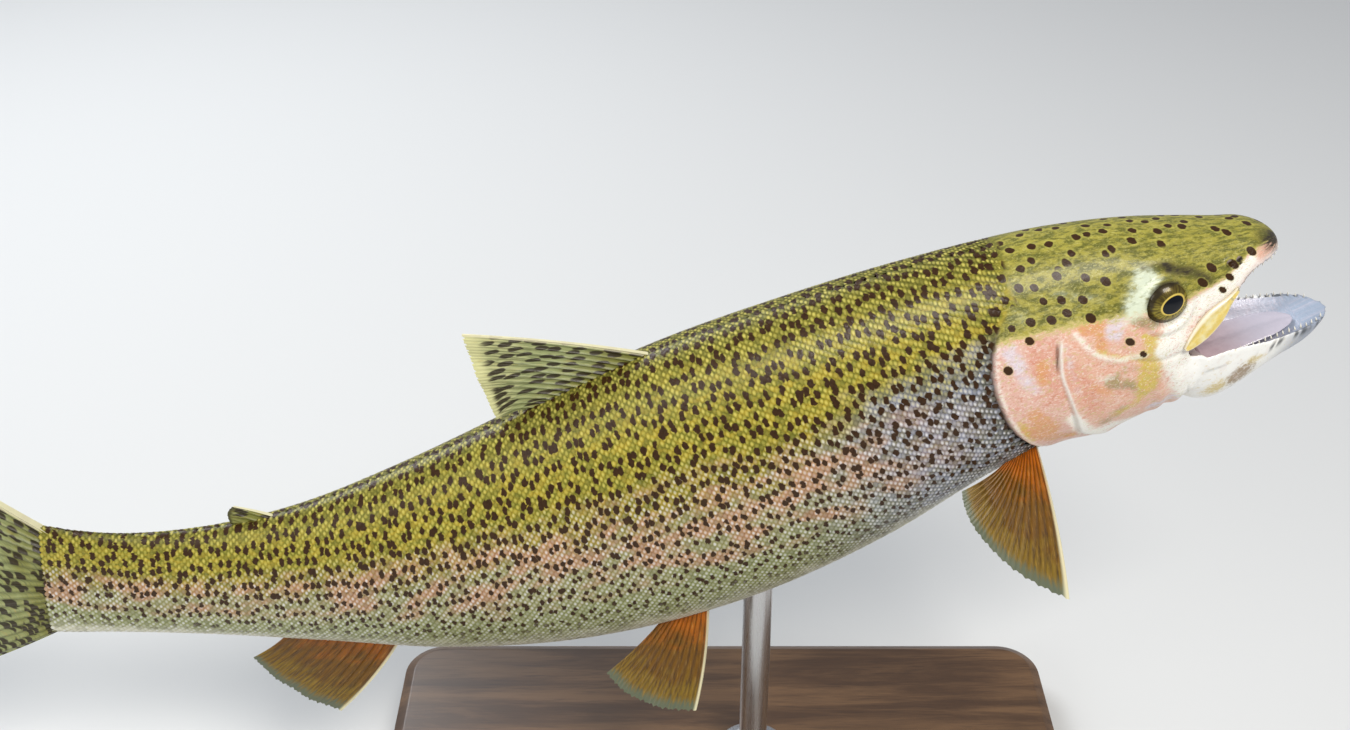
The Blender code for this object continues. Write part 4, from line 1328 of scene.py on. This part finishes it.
def make_teeth(name, teeth):
    starts = [k * (TOOTH_TIP + 1) for k in range(len(teeth))]
    faces = [tuple(v + start for v in face) for start in starts for face in TOOTH_FACES]
    obj = new_piece(name, np.concatenate(teeth), faces)
    tidy_normals(obj)
    paint = Paint("ivory")
    colour = paint.mix(paint.noise(paint.here(), 500.0, 2.0), (0.80, 0.76, 0.62), (0.88, 0.86, 0.78))
    finish_piece(obj, paint.finish(colour, 0.2))


def upper_teeth():
    teeth = []
    for side in (-1, 1):
        for k, x in enumerate(np.linspace(1.6, 44, 21)):
            half, height = girth(x, float(upper_lip(x)))
            y = side * (half - lip_wall(x) * 0.55)
            long = 1.5 - 0.4 * (k % 2) - 0.008 * x
            teeth.append(tooth((x, y, height + 0.5), (x + 0.3, y * 0.985, height - long), 0.42))
    return teeth


def lower_teeth():
    teeth = []
    for side in (-1, 1):
        for k, t in enumerate(np.linspace(0.10, 0.92, 19)):
            x, at = along_jaw(t), jaw_station(t)
            half, height = girth(at, float(lip_turn(at)))
            y = side * (half * JAW_WIDTH - jaw_wall(t) * 0.6)
            ends = np.array([(x, y, height - 0.7), (x + 0.4, y * 0.98, height + 1.4 - 0.4 * (k % 2))])
            teeth.append(tooth(*swing(ends, 1.0), 0.40))
    return teeth


maxilla_paint = maxilla_material()
for side_name, side in SIDES:
    make_maxilla(side_name, side, maxilla_paint)
make_tongue()
make_teeth("teeth_upper", upper_teeth())
make_teeth("teeth_lower", lower_teeth())


# ---- stand ----
CORNER = 0.018                          # radius of the board's corners, in metres
RIM_WIDE, RIM_DEEP = 0.0045, 0.0022     # the step round the board's top
EDGE_ROUND = 0.0011


def wood_material():
    paint = Paint("dark_walnut")
    here = paint.here()
    grain = paint.noise(paint.shaken(paint.scaled(here, (6.0, 60.0, 60.0)), 0.7, 1.2), 1.6, 6.0, 0.62)
    fibre = paint.noise(paint.scaled(here, (60.0, 1400.0, 1400.0)), 1.0, 3.0, 0.6)
    colour = paint.layers(
        paint.mix(paint.step(grain, 0.36, 0.66), (0.060, 0.030, 0.014), (0.145, 0.078, 0.036)),
        (paint.step(fibre, 0.52, 0.72) * 0.45, (0.030, 0.015, 0.008)))
    paint.bump(grain + fibre * 0.4, 0.0002, 0.4)
    return paint.finish(colour, fibre * 0.18 + 0.30, 0.0, Coat_Weight=0.15, Coat_Roughness=0.25)


def steel_material():
    paint = Paint("brushed_steel")
    lines = paint.noise(paint.scaled(paint.here(), (1800.0, 1800.0, 40.0)), 1.0, 3.0, 0.6)
    colour = paint.mix(lines, (0.52, 0.52, 0.53), (0.72, 0.72, 0.72))
    paint.bump(lines, 0.00003, 0.5)
    return paint.finish(colour, lines * 0.16 + 0.20, 1.0)


def select_parts(obj, kind, test):
    """Edit mode with just the edges or the faces that pass the test selected."""
    only(obj)
    bpy.ops.object.mode_set(mode="EDIT")
    bpy.ops.mesh.select_mode(type=kind)
    bpy.ops.mesh.select_all(action="DESELECT")
    bm = bmesh.from_edit_mesh(obj.data)
    for part in bm.edges if kind == "EDGE" else bm.faces:
        part.select = test(part)
    bm.select_flush_mode()
    bmesh.update_edit_mesh(obj.data)


def make_base():
    """A flat board with round corners and a stepped and rounded upper edge; its top's height."""
    low, high = (Vector(c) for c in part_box("stand_base"))
    middle, size = (low + high) / 2, high - low
    bpy.ops.mesh.primitive_cube_add(size=1, location=middle)
    base = bpy.context.object
    base.name = "stand_board"
    base.scale = size
    bpy.ops.object.transform_apply(location=True, rotation=False, scale=True)
    select_parts(base, "EDGE", lambda e: abs(e.verts[0].co.z - e.verts[1].co.z) > 0.001)
    bpy.ops.mesh.bevel(offset=CORNER, segments=14, affect="EDGES")
    bpy.ops.object.mode_set(mode="OBJECT")
    select_parts(base, "FACE", lambda f: f.normal.z > 0.9)
    bpy.ops.mesh.inset(thickness=RIM_WIDE)
    bpy.ops.mesh.inset(thickness=0.0004)
    bpy.ops.object.mode_set(mode="OBJECT")
    # the rim of the top is lowered: inward is each point's distance from the board's outline
    points = coords(base)
    reach_x = size.x / 2 - np.abs(points[:, 0] - middle.x)
    reach_y = size.y / 2 - np.abs(points[:, 1] - middle.y)
    inward = CORNER - np.hypot(np.maximum(CORNER - reach_x, 0), np.maximum(CORNER - reach_y, 0))
    inward = np.where((reach_x > CORNER) | (reach_y > CORNER), np.minimum(reach_x, reach_y), inward)
    points[(points[:, 2] > high.z - 1e-5) & (inward < RIM_WIDE * 2 / 3), 2] -= RIM_DEEP
    set_coords(base, points)
    apply_modifier(base, "BEVEL", width=EDGE_ROUND, segments=4, limit_method="ANGLE",
                   angle_limit=math.radians(20))
    bpy.ops.object.shade_smooth_by_angle(angle=math.radians(35))
    base.data.materials.append(wood_material())
    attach(base, "root")
    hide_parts("stand_base")
    return high.z


def turned(name, profile, centre):
    """A turned piece: (radius, height) points in metres spun round an upright axis."""
    bm = bmesh.new()
    line = [bm.verts.new((centre[0] + radius, centre[1], height)) for radius, height in profile]
    for pair in zip(line, line[1:]):
        bm.edges.new(pair)
    bmesh.ops.spin(bm, geom=bm.verts[:] + bm.edges[:], cent=(centre[0], centre[1], 0), axis=(0, 0, 1),
                   angle=2 * math.pi, steps=72, use_merge=True)
    bmesh.ops.remove_doubles(bm, verts=bm.verts, dist=1e-6)
    bmesh.ops.holes_fill(bm, edges=[e for e in bm.edges if e.is_boundary], sides=0)
    bmesh.ops.recalc_face_normals(bm, faces=bm.faces)
    mesh = bpy.data.meshes.new(name)
    bm.to_mesh(mesh)
    bm.free()
    obj = linked(name, mesh)
    only(obj)
    bpy.ops.object.shade_smooth_by_angle(angle=math.radians(35))
    return obj


def make_rod(board_top):
    """A steel rod that enters the belly, with a low turned collar on the board."""
    low, high = (Vector(c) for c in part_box("stand_rod"))
    centre = (low + high) / 2
    radius, top = (high.x - low.x) / 2, high.z
    rod = turned("stand_steel_rod", [(0.0, low.z), (radius, low.z), (radius, top - 0.002),
                                     (radius * 0.9, top + 0.002), (0.0, top + 0.002)], centre)
    # radius and height of the collar's outline over the board
    profile = [(radius + 0.0002, 0.0003), (0.0150, 0.0003), (0.0156, 0.0010), (0.0154, 0.0022),
               (0.0140, 0.0030), (0.0110, 0.0036), (0.0092, 0.0050), (0.0084, 0.0075), (0.0080, 0.0090),
               (radius + 0.0002, 0.0094)]
    collar = turned("stand_collar", [(wide, board_top + rise) for wide, rise in profile], centre)
    steel = steel_material()
    for obj in (rod, collar):
        obj.data.materials.append(steel)
        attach(obj, "root")
    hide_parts("stand_rod")


make_rod(make_base())


# ---- floor, lights and camera ----
def make_stage():
    bpy.ops.mesh.primitive_plane_add(size=8, location=(0, 1.0, 0))
    floor = bpy.context.object
    floor.name = "floor"
    floor.data.materials.append(Paint("floor").finish((0.66, 0.66, 0.65), 0.8))


def soft_light(name, place_at, look_at, size, power, colour=(1, 1, 1)):
    light = bpy.data.lights.new(name, "AREA")
    light.shape = "RECTANGLE"
    light.size, light.size_y = size
    light.energy = power
    light.color = colour
    obj = linked(name, light)
    obj.location = place_at
    obj.rotation_euler = (Vector(place_at) - Vector(look_at)).to_track_quat("Z", "Y").to_euler()


def make_lights():
    world = bpy.data.worlds.new("studio")
    world.use_nodes = True
    background = world.node_tree.nodes["Background"]
    background.inputs[0].default_value = (0.85, 0.9, 1.0, 1)
    background.inputs[1].default_value = 0.34
    bpy.context.scene.world = world
    middle = (0, 0, 0.18)
    soft_light("key", (0.5, -0.9, 1.5), middle, (0.8, 0.6), 25, (1.0, 0.97, 0.92))
    soft_light("back", (-0.7, 0.9, 1.1), middle, (0.8, 0.5), 14, (0.92, 0.96, 1.0))
    soft_light("side", (-1.1, -0.9, 0.7), middle, (0.7, 0.7), 5)


CAMERA_TILT = math.radians(33.0)
CAMERA_DISTANCE = 0.630
CAMERA_TARGET = (0.0430, 0.0335, 0.2015)


def make_camera():
    camera = bpy.data.cameras.new("camera")
    camera.lens = 42.0
    camera.sensor_width = 36.0
    camera.clip_start = 0.01
    obj = linked("camera", camera)
    back = Vector((0, -math.cos(CAMERA_TILT), math.sin(CAMERA_TILT)))
    obj.location = Vector(CAMERA_TARGET) + back * CAMERA_DISTANCE
    obj.rotation_euler = back.to_track_quat("Z", "Y").to_euler()
    bpy.context.scene.camera = obj


make_stage()
make_lights()
make_camera()
bpy.context.scene.view_settings.view_transform = "Standard"
